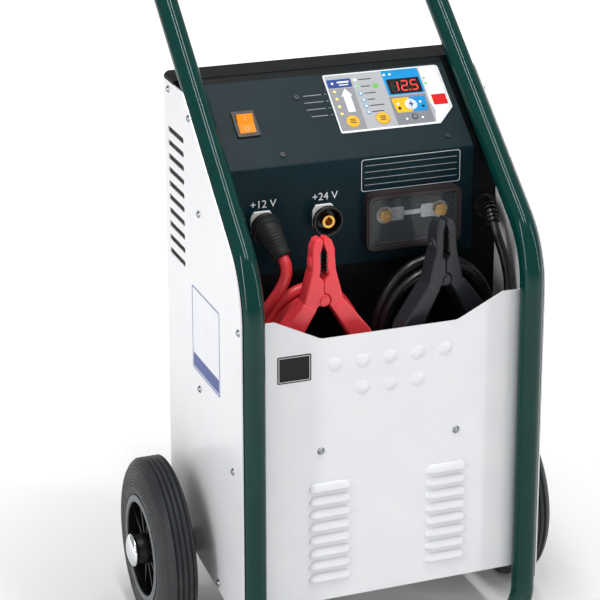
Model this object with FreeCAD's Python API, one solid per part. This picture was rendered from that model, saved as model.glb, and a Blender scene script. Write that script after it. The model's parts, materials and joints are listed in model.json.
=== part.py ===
import FreeCAD, Part
import math
import os

# Wheeled battery charger and starter trolley, in millimetres.
# x is to the right, y to the back and z up, with z = 0 on the floor.
# The pieces are drawn with y = 0 in the plane of the upright tubes and moved to the box's middle at the end.
V = FreeCAD.Vector

# Clearances
seat = 0.3                      # between pieces that rest on each other
running = 0.05                  # radial, round a pin or an axle
key_play = 0.25                 # round a key in its hole

# Frame tubes
tube_d = 25.0
tube_wall = 1.6
tube_span = 313.0               # between the axes of the two uprights
lean = 50.5                     # of the slanted tubes and the console, from upright
knee_z = 460.8                  # where the upright and slanted axes would meet
knee_r = 95.0
foot_r = 50.0
pad_under = 3.5                 # rubber under the foot tube
joint_run = 219.5               # from the knee to the joint with the handle
handle_run = 430.0              # from the knee to the handle's grip
handle_r = 60.0
spigot_length = 40.0
pad_x = 95.0                    # from the middle to a foot pad
pad_length = 46.0
pad_width = 30.0
pad_height = 14.0

# White sheet metal body
sheet = 1.5
body_back = 250.0
body_top = 617.0
side_under_front = 24.0         # the side panel's lower corners below the axle's middle
side_under_back = 3.0
side_lead = 4.0                 # the side panel's front edge ahead of the tube's axis
top_corner_r = 10.0
slot_count = 10
slot_pitch = 15.5
slot_top_z = 563.5
slot_front_y = 181.0
slot_length = 55.0
slot_height = 6.5
flange = 14.0
front_bottom = 87.0
front_top = 412.8
front_bend_r = 26.0
front_return = 32.0             # the folded sides behind the front panel's face
notch_z = 387.5
notch_low_x = 77.0
notch_high_x = 129.0
notch_r = 14.0
louvre_rows = 8
louvre_pitch = 15.0
louvre_first_z = 111.8
louvre_inner_x = 43.2
louvre_length = 48.0
louvre_rise = 4.5
louvre_tall = 8.0
dome_pitch = 31.25
dome_d = 16.0
dome_rise = 2.6
dome_under_notch = 30.2
dome_row_pitch = 30.5
front_screw_x = 77.5
front_screw_z = 261.5
base_over_axle = 3.5
hanger_inset = 21.5             # a hanger beside the tube's axis
hanger_under = 14.0
tray_floor = 268.0
tray_lip = 18.0
vent_rows = 9

# Console
console_wall = 3.0
face_y = 120.0                  # the moulding's upright face
slope_length = 113.0
hood_r = 7.0
hood_top_front = 621.5
hood_top_back = 624.6
plate_t = 1.0
plate_half = 140.6
plate_bottom = 425.0

# Controls on the slope: u is to the right of the middle and v up the slope from its foot
overlay_t = 0.6
overlay_left = -4.0
overlay_right = 133.2
overlay_bottom = 32.5
overlay_top = 110.3
overlay_cut_u = 112.6
overlay_cut_v = 52.5
display_u = 86.5
display_v = 86.5
display_w = 37.6
display_h = 19.5
display_depth = 8.0
key_travel = 0.4
key_rise = 0.9
rocker_u = -106.8
rocker_v = 57.2
rocker_w = 25.6
rocker_h = 32.8
rocker_body_w = 21.8
rocker_body_h = 28.6
rocker_opening_w = 18.6
rocker_opening_h = 24.6
rocker_flange = 2.2
rocker_depth = 17.0
rocker_half_angle = 9.0
face_screw_spots = ((-41.1, 84.9), (-76.9, 14.1), (114.8, 15.5))

# Outputs on the upright face
socket_z = 482.0
socket_12_x = -105.0
socket_24_x = -35.0
socket_d = 34.0
socket_depth = 14.0
socket_wall = 2.6
socket_shank_d = 20.0
hex_side = 12.7
hex_t = 3.0
insert_d = 14.0
insert_bore = 8.6
fuse_x = 66.8
fuse_z = 472.0
fuse_w = 111.0
fuse_h = 64.0
fuse_border = 7.0
fuse_depth = 14.0
fuse_stud_x = 32.2
fuse_stud_z = 5.5
fuse_stud_d = 8.0
fuse_base_t = 4.0
strip_t = 1.2
nut_flats = 13.0
nut_t = 5.2
cover_t = 1.6

# Leads
mains_d = 10.0
mains_gland_inset = 1.5         # the gland beside the tube's axis
mains_gland_z = 474.0
red_d = 12.5
black_d = 12.5
coil_front = 73.0
red_coil_x = -60.0
red_coil_r = 61.0
red_coil_top = 423.0
black_coil_x = 84.0
black_coil_r = 75.0
black_coil_top = 438.0
hank_x0 = -90.0
hank_x1 = 152.0
hank_depth = 55.5
hank_turns = 3

# Clamps
clamp_t = 22.0
clamp_pivot_r = 3.0
clamp_lug_r = 7.0
clamp_gap = 0.3
clamp_y = 46.0
red_clamp_x = -65.0
red_clamp_z = 419.5
black_clamp_x = 72.0
black_clamp_z = 424.5
black_clamp_turn = 12.0

# Wheels
wheel_r = 100.0
wheel_y = 170.0
axle_d = 16.0
tyre_w = 40.0
tyre_outer_x = 232.4
rim_r = 60.0
rim_lip_r = 52.0
boss_r = 17.0
cap_r = 18.0
cap_rise = 8.0
bead_rise = 8.0
outer_shoulder = 8.0
inner_shoulder = 10.0
tyre_grooves = 5
spokes = 10

# Inside
core_w = 120.0
core_d = 84.0
core_h = 100.0
limb_w = 40.0
rectifier_inset = 60.5          # the heat sink beside the tube's axis

# Places that follow from the sizes above
tube_r = tube_d / 2
half_span = tube_span / 2
sin_lean = math.sin(math.radians(lean))
cos_lean = math.cos(math.radians(lean))
foot_z = pad_under + tube_r
side_bottom_front = wheel_r - side_under_front
side_bottom_back = wheel_r - side_under_back
base_z = wheel_r + axle_d / 2 + base_over_axle
dome_top_z = notch_z - dome_under_notch
dome_low_z = dome_top_z - dome_row_pitch
mains_gland_x = half_span - mains_gland_inset
panel_in = half_span + tube_r + seat
panel_out = panel_in + sheet
body_half = panel_in - seat
front_y = tube_r + seat
front_back = front_y + sheet
slope_back = tube_r + seat      # the console's slope behind the tube axes, square to them
crease_z = knee_z + (face_y * cos_lean - slope_back) / sin_lean
rear_y = body_back - sheet - seat - sheet
coil_back = face_y - 3.0
upright_bottom = foot_z + foot_r
handle_y = handle_run * sin_lean
handle_z = knee_z + handle_run * cos_lean
y_mid = (handle_y + tube_r - pad_width / 2) / 2


def save(name, shape):
    """Writes one piece, moved so that the whole stands centred over the origin."""
    moved = shape.copy()
    moved.translate(V(0, -y_mid, 0))
    moved.exportStep("parts/" + name + ".step")


def rounded_wire(corners, place):
    """Closed wire through corners (a, b, radius), with each corner rounded."""
    count = len(corners)
    arcs = []
    for i in range(count):
        a, b, r = corners[i]
        before = corners[i - 1]
        after = corners[(i + 1) % count]
        here = V(a, b, 0)
        to_before = (V(before[0], before[1], 0) - here).normalize()
        to_after = (V(after[0], after[1], 0) - here).normalize()
        if r <= 0:
            arcs.append((here, None, here))
            continue
        half = to_before.getAngle(to_after) / 2
        reach = r / math.tan(half)
        middle = (to_before + to_after).normalize() * (r / math.sin(half) - r)
        arcs.append((here + to_before * reach, here + middle, here + to_after * reach))
    edges = []
    for i in range(count):
        start, middle, end = arcs[i]
        last = arcs[i - 1][2]
        if (start - last).Length > 1e-4:
            edges.append(Part.makeLine(place(last.x, last.y), place(start.x, start.y)))
        if middle is not None:
            points = [place(p.x, p.y) for p in (start, middle, end)]
            edges.append(Part.Arc(*points).toShape())
    return Part.Wire(edges)


def prism_x(corners, x0, x1):
    """Solid between x0 and x1 over an outline in y and z."""
    face = Part.Face(rounded_wire(corners, lambda a, b: V(x0, a, b)))
    return face.extrude(V(x1 - x0, 0, 0))


def prism_y(corners, y0, y1):
    """Solid between y0 and y1 over an outline in x and z."""
    face = Part.Face(rounded_wire(corners, lambda a, b: V(a, y0, b)))
    return face.extrude(V(0, y1 - y0, 0))


def prism_z(corners, z0, z1):
    """Solid between z0 and z1 over an outline in x and y."""
    face = Part.Face(rounded_wire(corners, lambda a, b: V(a, b, z0)))
    return face.extrude(V(0, 0, z1 - z0))


def rectangle(x0, y0, x1, y1, r=0.0):
    """Corners of a rectangle with one rounding."""
    return [(x0, y0, r), (x1, y0, r), (x1, y1, r), (x0, y1, r)]


def box(x0, x1, y0, y1, z0, z1):
    """Box between two limits on each axis."""
    return Part.makeBox(x1 - x0, y1 - y0, z1 - z0, V(x0, y0, z0))


def rod(r, start, end):
    """Cylinder from one point to another."""
    way = end - start
    return Part.makeCylinder(r, way.Length, start, way)


def path_wire(points, radii):
    """Open path of straight runs joined by tangent arcs."""
    edges = []
    last = points[0]
    for i in range(1, len(points) - 1):
        here = points[i]
        back = (points[i - 1] - here).normalize()
        on = (points[i + 1] - here).normalize()
        half = back.getAngle(on) / 2
        reach = radii[i - 1] / math.tan(half)
        start = here + back * reach
        end = here + on * reach
        middle = here + (back + on).normalize() * (radii[i - 1] / math.sin(half) - radii[i - 1])
        edges.append(Part.makeLine(last, start))
        edges.append(Part.Arc(start, middle, end).toShape())
        last = end
    edges.append(Part.makeLine(last, points[-1]))
    return Part.Wire(edges)


def swept(points, radii, r):
    """Round solid along a path."""
    path = path_wire(points, radii)
    ring = Part.Wire(Part.makeCircle(r, points[0], points[1] - points[0]))
    return path.makePipeShell([ring], True, False)


def lead_tube(name, points, d):
    """Tube of a lead, with each arc as large as its two runs allow."""
    radii = []
    for i in range(1, len(points) - 1):
        back = points[i - 1] - points[i]
        on = points[i + 1] - points[i]
        half_turn = (math.pi - back.getAngle(on)) / 2
        radii.append(0.45 * min(back.Length, on.Length) / math.tan(half_turn))
    tube = swept(points, radii, d / 2)
    length = path_wire(points, radii).Length
    print(name, "radii", [round(r, 1) for r in radii], "length", round(length, 1),
          "volume over section times length", round(tube.Volume / (math.pi * d * d / 4 * length), 4))
    return tube


def placed(shape, spot, axis, angle):
    """Copy of a shape, turned about an axis through its origin and then moved."""
    moved = shape.copy()
    moved.rotate(V(0, 0, 0), axis, angle)
    moved.translate(spot)
    return moved


def on_slope(shape):
    """Moves a piece drawn flat, with x right, y up the slope and z outwards, onto the console's slope."""
    return placed(shape, V(0, face_y, crease_z), V(1, 0, 0), 90 - lean)


def on_face(shape):
    """Moves a piece drawn flat, with x right, y up and z outwards, onto the console's upright face."""
    return placed(shape, V(0, face_y, 0), V(1, 0, 0), 90)


def slanted_point(x, run, ahead=0.0):
    """Point beside the slanted tube axis, so far along it from the knee and so far ahead of it."""
    return V(x, run * sin_lean - ahead * cos_lean, knee_z + run * cos_lean + ahead * sin_lean)


def hexagon(cx, cy, side, turn=0.0):
    """Corners of a hexagon with a flat top."""
    angles = [math.radians(turn + 60 * i) for i in range(6)]
    return [(cx + side * math.cos(a), cy + side * math.sin(a), 0) for a in angles]


# Frame

def frame_tube():
    """One bent tube: down one side, across the floor at the front and up the other side."""
    points = [slanted_point(-half_span, joint_run), V(-half_span, 0, knee_z), V(-half_span, 0, foot_z),
              V(half_span, 0, foot_z), V(half_span, 0, knee_z), slanted_point(half_span, joint_run)]
    radii = [knee_r, foot_r, foot_r, knee_r]
    tube = swept(points, radii, tube_r).cut(swept(points, radii, tube_r - tube_wall))
    for side in (-1, 1):
        for y, z in tube_screw_spots():
            hole = Part.makeCylinder(screw_r, 2 * tube_r, V(side * (half_span + tube_r + 1), y, z), V(-side, 0, 0))
            tube = tube.cut(hole)
    return tube


def handle_tube():
    """Upper bent tube with the grip, and a thinner spigot at each end that sits in the frame tube."""
    points = [slanted_point(-half_span, joint_run + seat), slanted_point(-half_span, handle_run),
              slanted_point(half_span, handle_run), slanted_point(half_span, joint_run + seat)]
    radii = [handle_r, handle_r]
    tube = swept(points, radii, tube_r).cut(swept(points, radii, tube_r - tube_wall))
    spigot_r = tube_r - tube_wall - running
    for side in (-1, 1):
        start = slanted_point(side * half_span, joint_run - spigot_length)
        end = slanted_point(side * half_span, joint_run + spigot_length / 2)
        spigot = rod(spigot_r, start, end).cut(rod(spigot_r - tube_wall, start, end))
        shift = V(side * (half_span + tube_r + 1), 0, 0)
        y, z = tube_screw_spots()[1]
        spigot = spigot.cut(Part.makeCylinder(screw_r, 2 * tube_r, V(shift.x, y, z), V(-side, 0, 0)))
        collar = rod(tube_r - tube_wall / 2, slanted_point(side * half_span, joint_run + seat), end)
        collar = collar.cut(rod(spigot_r - tube_wall, slanted_point(side * half_span, joint_run + seat), end))
        tube = tube.fuse(spigot).fuse(collar)
    return tube.removeSplitter()


def foot_pad(side):
    """Rubber block under the foot tube, cradling it."""
    x = side * pad_x
    block = prism_z(rectangle(x - pad_length / 2, -pad_width / 2, x + pad_length / 2, pad_width / 2, 6), 0, pad_height)
    groove = Part.makeCylinder(tube_r, 2 * pad_length, V(x - pad_length, 0, foot_z), V(1, 0, 0))
    for ridge in (-1, 0, 1):
        notch = box(x + ridge * pad_length / 4 - 2, x + ridge * pad_length / 4 + 2, -pad_width, pad_width, -1, 1.2)
        block = block.cut(notch)
    return block.cut(groove)


# Sheet metal body

screw_r = 2.0
screw_head_r = 4.2
screw_head_t = 2.2


def tube_screw_spots():
    """Places, in y and z, of the screws that go through a side panel into the tube."""
    joint = slanted_point(0, joint_run - spigot_length / 4)
    return [(4.0, 410.5), (joint.y, joint.z)]


def side_screw_spots():
    """Places, in y and z, of all the screws in a side panel."""
    return tube_screw_spots() + [(233.6, 608.0), (131.0, 497.3), (136.0, 296.3), (25.3, 247.8), (79.0, 92.0)]


def side_outline(lead, inset=0.0):
    """Outline of a side panel in y and z, whose front edge follows the tube."""
    top = body_top - inset
    run = (top - knee_z - lead * sin_lean) / cos_lean
    corner = slanted_point(0, run, lead)
    run_knee = lead * math.tan(math.radians(lean / 2))
    knee = V(0, -lead, knee_z + run_knee)
    slope = (side_bottom_back - side_bottom_front) / body_back
    return [(-lead, side_bottom_front - slope * lead, 3), (body_back - inset, side_bottom_back, 4),
            (body_back - inset, top, 3), (corner.y, top, top_corner_r), (knee.y, knee.z, knee_r + lead)]


def side_panel(side):
    """Side sheet outside the tube, with vent slots, a folded rear edge and an axle hole."""
    x0, x1 = sorted((side * panel_in, side * panel_out))
    panel = prism_x(side_outline(side_lead), x0, x1)
    for i in range(slot_count):
        z = slot_top_z - i * slot_pitch
        slot = rectangle(slot_front_y, z - slot_height / 2, slot_front_y + slot_length, z + slot_height / 2, 2.5)
        panel = panel.cut(prism_x(slot, x0 - 1, x1 + 1))
    axle_hole = Part.makeCylinder(axle_d / 2 + running, 2 * sheet + 2, V(side * (panel_in - 1), wheel_y, wheel_r),
                                  V(side, 0, 0))
    panel = panel.cut(axle_hole)
    for y, z in side_screw_spots():
        panel = panel.cut(Part.makeCylinder(screw_r, 2 * sheet + 2, V(side * (panel_in - 1), y, z), V(side, 0, 0)))
    f0, f1 = sorted((side * (panel_in + sheet / 2), side * (panel_in - flange)))
    fold = box(f0, f1, body_back - sheet, body_back, side_bottom_back + 12, body_top - 12)
    return panel.fuse(fold).removeSplitter()


def capsule(r, x0, x1, y, z):
    """Cylinder along x with round ends."""
    shape = Part.makeCylinder(r, x1 - x0 - 2 * r, V(x0 + r, y, z), V(1, 0, 0))
    return shape.fuse([Part.makeSphere(r, V(x0 + r, y, z)), Part.makeSphere(r, V(x1 - r, y, z))])


def louvre(x0, x1, z):
    """Hood and opening of one pressed louvre, open at its lower edge."""
    r = (louvre_tall ** 2 + louvre_rise ** 2) / (2 * louvre_rise)
    middle_y = front_y - louvre_rise + r
    side = math.sqrt(r * r - (r - louvre_rise) ** 2)
    bulge = capsule(r, x0 + side - r, x1 - side + r, middle_y, z)
    half_space = box(x0 - 20, x1 + 20, front_y - 20, front_back, z, z + 30)
    hood = bulge.common(half_space)
    inner_r = r - sheet
    hollow = Part.makeCylinder(inner_r, x1 - x0 - side, V(x0 + side / 2, middle_y, z), V(1, 0, 0))
    hollow = hollow.common(box(x0 - 20, x1 + 20, front_y - 20, front_back + 20, z - 1, z + 30))
    return hood, hollow


def dome(x, z):
    """Pressed dome and its hollow back."""
    r = ((dome_d / 2) ** 2 + dome_rise ** 2) / (2 * dome_rise)
    centre = V(x, front_y - dome_rise + r, z)
    ahead = box(x - dome_d, x + dome_d, front_y - 2 * dome_rise, front_back, z - dome_d, z + dome_d)
    cap = Part.makeSphere(r, centre).common(ahead)
    hollow = Part.makeSphere(r - sheet, centre).common(ahead)
    return cap, hollow


def front_panel():
    """Front sheet with rounded sides, a lowered middle of its top edge, pressed domes and louvres."""
    w = body_half
    back = front_y + front_return
    t = sheet
    r = front_bend_r
    outline = [(-w, back, 0), (-w, front_y, r), (w, front_y, r), (w, back, 0),
               (w - t, back, 0), (w - t, front_y + t, r - t), (-w + t, front_y + t, r - t), (-w + t, back, 0)]
    panel = prism_z(outline, front_bottom, front_top)
    notch = [(-notch_high_x, front_top + 2, 0), (-notch_high_x, front_top, 0), (-notch_low_x, notch_z, notch_r),
             (notch_low_x, notch_z, notch_r), (notch_high_x, front_top, 0), (notch_high_x, front_top + 2, 0)]
    panel = panel.cut(prism_y(notch, front_y - 1, front_back + 1))
    spots = [((i - 2) * dome_pitch, dome_top_z) for i in range(5)]
    spots += [((i - 1) * dome_pitch, dome_low_z) for i in range(3)]
    hoods = []
    hollows = []
    for x, z in spots:
        cap, hollow = dome(x, z)
        hoods.append(cap)
        hollows.append(hollow)
    for row in range(louvre_rows):
        z = louvre_first_z + row * louvre_pitch
        for side in (-1, 1):
            x0, x1 = sorted((side * louvre_inner_x, side * (louvre_inner_x + louvre_length)))
            hood, hollow = louvre(x0, x1, z)
            hoods.append(hood)
            hollows.append(hollow)
    panel = panel.fuse(hoods)
    panel = panel.cut(hollows)
    for side in (-1, 1):
        panel = panel.cut(Part.makeCylinder(screw_r, 20, V(side * front_screw_x, front_y - 10, front_screw_z), V(0, 1, 0)))
    return panel.removeSplitter()


def rear_panel():
    """Rear sheet with two columns of vent slots."""
    panel = box(-body_half, body_half, rear_y, rear_y + sheet, side_bottom_back + 3, body_top - seat)
    for row in range(vent_rows):
        z = 180 + row * 2 * slot_pitch
        for side in (-1, 1):
            x0, x1 = sorted((side * 25, side * 125))
            panel = panel.cut(prism_y(rectangle(x0, z, x1, z + slot_height, 2.5), rear_y - 1, rear_y + sheet + 1))
    return panel


def base_plate():
    """Floor of the body, with two hangers that hold the axle under it."""
    plate = box(-body_half, body_half, front_y + front_return + seat, rear_y - seat, base_z, base_z + sheet)
    lip = box(-body_half + front_bend_r, body_half - front_bend_r, front_back + seat, front_y + front_return + 1,
              base_z, base_z + sheet)
    plate = plate.fuse(lip)
    for x in (hanger_inset - half_span, half_span - hanger_inset):
        hanger = prism_x([(wheel_y - 30, base_z + 1, 0), (wheel_y + 30, base_z + 1, 0),
                          (wheel_y + 14, wheel_r - hanger_under, 6), (wheel_y - 14, wheel_r - hanger_under, 6)],
                         x - sheet, x + sheet)
        hanger = hanger.cut(Part.makeCylinder(axle_d / 2 + running, 10, V(x - 5, wheel_y, wheel_r), V(1, 0, 0)))
        plate = plate.fuse(hanger)
    return plate.removeSplitter()


def pocket_tray():
    """Floor of the lead pocket, with a lip up the front panel and one up the console."""
    y0 = front_back + seat
    y1 = face_y - seat
    z = tray_floor
    lip_z = z + tray_lip
    profile = [(y0, z - sheet, 2), (y1, z - sheet, 2), (y1, lip_z, 0), (y1 - sheet, lip_z, 0), (y1 - sheet, z, 0.5),
               (y0 + sheet, z, 0.5), (y0 + sheet, lip_z, 0), (y0, lip_z, 0)]
    inner = body_half - front_bend_r
    middle = prism_x(profile, -inner, inner)
    wings = box(-body_half + sheet + seat, body_half - sheet - seat, front_y + front_bend_r, y1 - sheet / 2,
                z - sheet, z)
    return middle.fuse(wings).removeSplitter()


def panel_screws():
    """Domed screws in the side and front panels."""
    heads = []
    for side in (-1, 1):
        for y, z in side_screw_spots():
            base = V(side * panel_out, y, z)
            head = Part.makeCone(screw_head_r, screw_head_r * 0.55, screw_head_t, base, V(side, 0, 0))
            shank = Part.makeCylinder(screw_r - running, sheet + 2.5, V(side * (panel_out + 0.1), y, z), V(-side, 0, 0))
            heads.append(head.fuse(shank))
        base = V(side * front_screw_x, front_y, front_screw_z)
        head = Part.makeCone(screw_head_r, screw_head_r * 0.55, screw_head_t, base, V(0, -1, 0))
        shank = Part.makeCylinder(screw_r - running, sheet + 3, base + V(0, -0.1, 0), V(0, 1, 0))
        heads.append(head.fuse(shank))
    return Part.makeCompound(heads)


# Console

def console_outline(inset=0.0):
    """Outline of the console moulding in y and z, walls inset by so much."""
    foot = V(0, face_y + inset, 0)
    rise = inset * math.tan(math.radians((90 - lean) / 2))
    crease = V(0, foot.y, crease_z - rise)
    slope_end = V(0, crease.y + (slope_length + 8) * sin_lean, crease.z + (slope_length + 8) * cos_lean)
    top = hood_top_front - inset
    run = (top - crease.z) / cos_lean
    shoulder = V(0, crease.y + run * sin_lean, top)
    back = rear_y - seat if inset == 0 else rear_y + 20
    bottom = tray_floor - 30 + inset
    return [(foot.y, bottom, 0), (crease.y, crease.z, max(4 - inset, 0)), (shoulder.y, top, max(8 - inset, 0)),
            (back, top, 0), (back, bottom, 0)], slope_end


def console_housing():
    """Moulded console: upright face, leaning slope, hood over the side panels, open at the back."""
    outer, slope_end = console_outline()
    inner, slope_end = console_outline(console_wall)
    shell = prism_x(outer, -body_half, body_half)
    shell = shell.cut(prism_x(inner, -body_half + console_wall, body_half - console_wall))
    hood_y = face_y + (hood_top_front - crease_z) * sin_lean / cos_lean + seat
    hood = prism_y([(-panel_out, body_top + seat, 0), (panel_out, body_top + seat, 0),
                    (panel_out, hood_top_back, hood_r), (-panel_out, hood_top_back, hood_r)], hood_y, body_back)
    shoulder_cut = prism_x([(hood_y - 1, hood_top_front, 0), (body_back + 1, hood_top_back, 0),
                            (body_back + 1, hood_top_back + 20, 0), (hood_y - 1, hood_top_back + 20, 0)],
                           -panel_out - 1, panel_out + 1)
    hood = hood.cut(shoulder_cut)
    cavity = box(-body_half + console_wall, body_half - console_wall, hood_y + console_wall, rear_y + 20,
                 body_top - 10, body_top + seat + 1.5)
    shell = shell.fuse(hood.cut(cavity))
    cuts = [on_slope(box(rocker_u - rocker_body_w / 2 - seat, rocker_u + rocker_body_w / 2 + seat,
                         rocker_v - rocker_body_h / 2 - seat, rocker_v + rocker_body_h / 2 + seat, -9, 2)),
            on_slope(box(display_u - display_w / 2 - seat, display_u + display_w / 2 + seat,
                         display_v - display_h / 2 - seat, display_v + display_h / 2 + seat, -9, 2))]
    for x in (socket_12_x, socket_24_x):
        cuts.append(on_face(Part.makeCylinder(socket_shank_d / 2 + seat, 12, V(x, socket_z, -8))))
    cuts.append(on_face(Part.makeCylinder(gland_neck_r + running, 12, V(mains_gland_x, mains_gland_z, -8))))
    cuts.append(on_face(Part.makeCylinder(gland_neck_r + running, 12, V(black_gland_x, black_gland_z, -8))))
    for u, v in face_screw_spots:
        cuts.append(on_slope(Part.makeCylinder(screw_r, 12, V(u, v, -8))))
    for side in (-1, 1):
        for y, z in side_screw_spots():
            cuts.append(Part.makeCylinder(screw_r, console_wall + 2, V(side * (body_half + 1), y, z), V(-side, 0, 0)))
    return shell.cut(cuts).removeSplitter()


def plate_profile(t):
    """Outline in y and z of a thin sheet bent over the console's crease."""
    turn = math.tan(math.radians((90 - lean) / 2))
    foot = V(0, face_y, plate_bottom)
    crease = V(0, face_y, crease_z)
    end = crease + V(0, sin_lean, cos_lean) * slope_length
    out = V(0, -cos_lean, sin_lean) * t
    outer_crease = V(0, face_y - t, crease_z + t * turn)
    return [(foot.y, foot.z, 0), (crease.y, crease.z, 4), (end.y, end.z, 0), (end.y + out.y, end.z + out.z, 0),
            (outer_crease.y, outer_crease.z, 4 + t), (foot.y - t, foot.z, 0)]


def face_plate():
    """Printed face sheet over the console's slope and upright face."""
    plate = prism_x(plate_profile(plate_t), -plate_half, plate_half)
    cuts = [on_slope(box(rocker_u - rocker_body_w / 2 - seat, rocker_u + rocker_body_w / 2 + seat,
                         rocker_v - rocker_body_h / 2 - seat, rocker_v + rocker_body_h / 2 + seat, -1, 3)),
            on_slope(box(display_u - display_w / 2 - seat, display_u + display_w / 2 + seat,
                         display_v - display_h / 2 - seat, display_v + display_h / 2 + seat, -1, 3))]
    for u, v, r in key_spots().values():
        cuts.append(on_slope(Part.makeCylinder(r + key_play, 4, V(u, v, -1))))
    for x in (socket_12_x, socket_24_x):
        cuts.append(on_face(Part.makeCylinder(socket_shank_d / 2 + seat, 4, V(x, socket_z, -1))))
    for u, v in face_screw_spots:
        cuts.append(on_slope(Part.makeCylinder(screw_r, 4, V(u, v, -1))))
    return plate.cut(cuts)


def face_screws():
    """Small screws in the printed face sheet."""
    heads = []
    for u, v in face_screw_spots:
        head = Part.makeCylinder(2.9, 1.4, V(u, v, plate_t))
        cross = Part.makeCylinder(1.1, 1.0, V(u, v, plate_t + 0.8))
        shank = Part.makeCylinder(screw_r - running, 5, V(u, v, plate_t - 4.9))
        heads.append(on_slope(head.cut(cross).fuse(shank)))
    return Part.makeCompound(heads)


# Controls

def key_spots():
    """Centre u, centre v and radius of each key of the membrane keypad."""
    return {"key_mode": (13.6, 46.6, 7.6), "key_select": (48.6, 46.8, 7.8), "key_boost": (86.2, 61.0, 7.2),
            "key_voltage": (85.6, 44.3, 3.4)}


def keypad_overlay():
    """Membrane sheet with a display window, key holes and one cut corner."""
    outline = [(overlay_left, overlay_bottom, 2), (overlay_cut_u, overlay_bottom, 3),
               (overlay_right, overlay_cut_v, 3), (overlay_right, overlay_top, 4), (overlay_left, overlay_top, 2)]
    sheet_shape = prism_z(outline, plate_t, plate_t + overlay_t)
    window = rectangle(display_u - display_w / 2 - seat, display_v - display_h / 2 - seat,
                       display_u + display_w / 2 + seat, display_v + display_h / 2 + seat)
    cuts = [prism_z(window, 0, 4)]
    for u, v, r in key_spots().values():
        cuts.append(Part.makeCylinder(r + key_play, 4, V(u, v, 0)))
    return on_slope(sheet_shape.cut(cuts))


def display_module():
    """Three digit display block with its face flush with the keypad."""
    window = rectangle(display_u - display_w / 2, display_v - display_h / 2,
                       display_u + display_w / 2, display_v + display_h / 2)
    block = prism_z(window, plate_t - display_depth, plate_t + overlay_t)
    return on_slope(block)


def key(name):
    """Domed key of the membrane keypad."""
    u, v, r = key_spots()[name]
    dish = plate_t + overlay_t
    button = Part.makeCylinder(r, dish + key_rise * 0.4 - key_travel - 0.1, V(u, v, key_travel + 0.1))
    crown = Part.makeCone(r, r * 0.82, key_rise * 0.6, V(u, v, dish + key_rise * 0.4))
    return on_slope(button.fuse(crown).removeSplitter())


def rocker_bezel():
    """Rocker switch housing: a flange on the face and a body through the console's wall."""
    flange_part = prism_z(rectangle(rocker_u - rocker_w / 2, rocker_v - rocker_h / 2, rocker_u + rocker_w / 2,
                                    rocker_v + rocker_h / 2, 1.5), plate_t, plate_t + rocker_flange)
    body = box(rocker_u - rocker_body_w / 2, rocker_u + rocker_body_w / 2, rocker_v - rocker_body_h / 2,
               rocker_v + rocker_body_h / 2, plate_t - rocker_depth, plate_t + 0.5)
    opening = box(rocker_u - rocker_opening_w / 2, rocker_u + rocker_opening_w / 2, rocker_v - rocker_opening_h / 2,
                  rocker_v + rocker_opening_h / 2, plate_t - rocker_depth + 2, plate_t + rocker_flange + 1)
    shell = flange_part.fuse(body).cut(opening)
    for i in (-1, 1):
        blade = box(rocker_u + i * 5 - 3.1, rocker_u + i * 5 + 3.1, rocker_v + i * 6 - 0.4, rocker_v + i * 6 + 0.4,
                    plate_t - rocker_depth - 8, plate_t - rocker_depth + 0.1)
        shell = shell.fuse(blade)
    pin_z = plate_t - 2.0
    pivots = Part.makeCylinder(1.2, rocker_opening_w + 2, V(rocker_u - rocker_opening_w / 2 - 1, rocker_v, pin_z),
                               V(1, 0, 0))
    return on_slope(shell.fuse(pivots).removeSplitter())


def rocker_paddle():
    """Rocking lens, dished across its pivot and tipped to its off side."""
    half_w = rocker_opening_w / 2 - 0.3
    half_h = rocker_opening_h / 2 - 0.6
    top = rocker_flange + 4.4
    dip = half_h * math.tan(math.radians(rocker_half_angle))
    outline = [(-half_h, top - 0.4, 0.8), (0, top - dip, 0), (half_h, top - 0.4, 0.8), (half_h - 1.8, -3.4, 1.5),
               (2.5, -6.2, 2.0), (-2.5, -6.2, 2.0), (-half_h + 1.8, -3.4, 1.5)]
    block = prism_x(outline, -half_w, half_w)
    block = block.cut(Part.makeCylinder(1.2 + running, 2 * half_w + 2, V(-half_w - 1, 0, 0), V(1, 0, 0)))
    block.rotate(V(0, 0, 0), V(1, 0, 0), rocker_half_angle)
    block.translate(V(rocker_u, rocker_v, plate_t - 2.0))
    return on_slope(block)


# Outputs

def socket_nuts():
    """White hexagonal plates behind the two output sockets."""
    plates = []
    for x in (socket_12_x, socket_24_x):
        plate = prism_z(hexagon(x, socket_z, hex_side), plate_t, plate_t + hex_t)
        plates.append(on_face(plate.cut(Part.makeCylinder(socket_shank_d / 2 + seat, 6, V(x, socket_z, 0)))))
    return Part.makeCompound(plates)


def socket_body(x):
    """Black insulating cup of an output socket, with a shank through the wall."""
    z0 = plate_t + hex_t
    cup = Part.makeCylinder(socket_d / 2, socket_depth, V(x, socket_z, z0))
    cup = cup.cut(Part.makeCylinder(socket_d / 2 - socket_wall, socket_depth, V(x, socket_z, z0 + 2.5)))
    floor = Part.makeCylinder(insert_d / 2 + 2.5, 5, V(x, socket_z, z0))
    shank = Part.makeCylinder(socket_shank_d / 2, 16, V(x, socket_z, z0 - 15.9))
    cup = cup.fuse([floor, shank])
    cup = cup.cut(Part.makeCylinder(insert_d / 2, 60, V(x, socket_z, z0 - 30)))
    for i in range(6):
        angle = math.radians(30 + 60 * i)
        spot = V(x + (socket_d / 2 + 1.2) * math.cos(angle), socket_z + (socket_d / 2 + 1.2) * math.sin(angle), z0)
        cup = cup.cut(Part.makeCylinder(2.0, socket_depth - 3, spot))
    return on_face(cup.removeSplitter())


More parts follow.
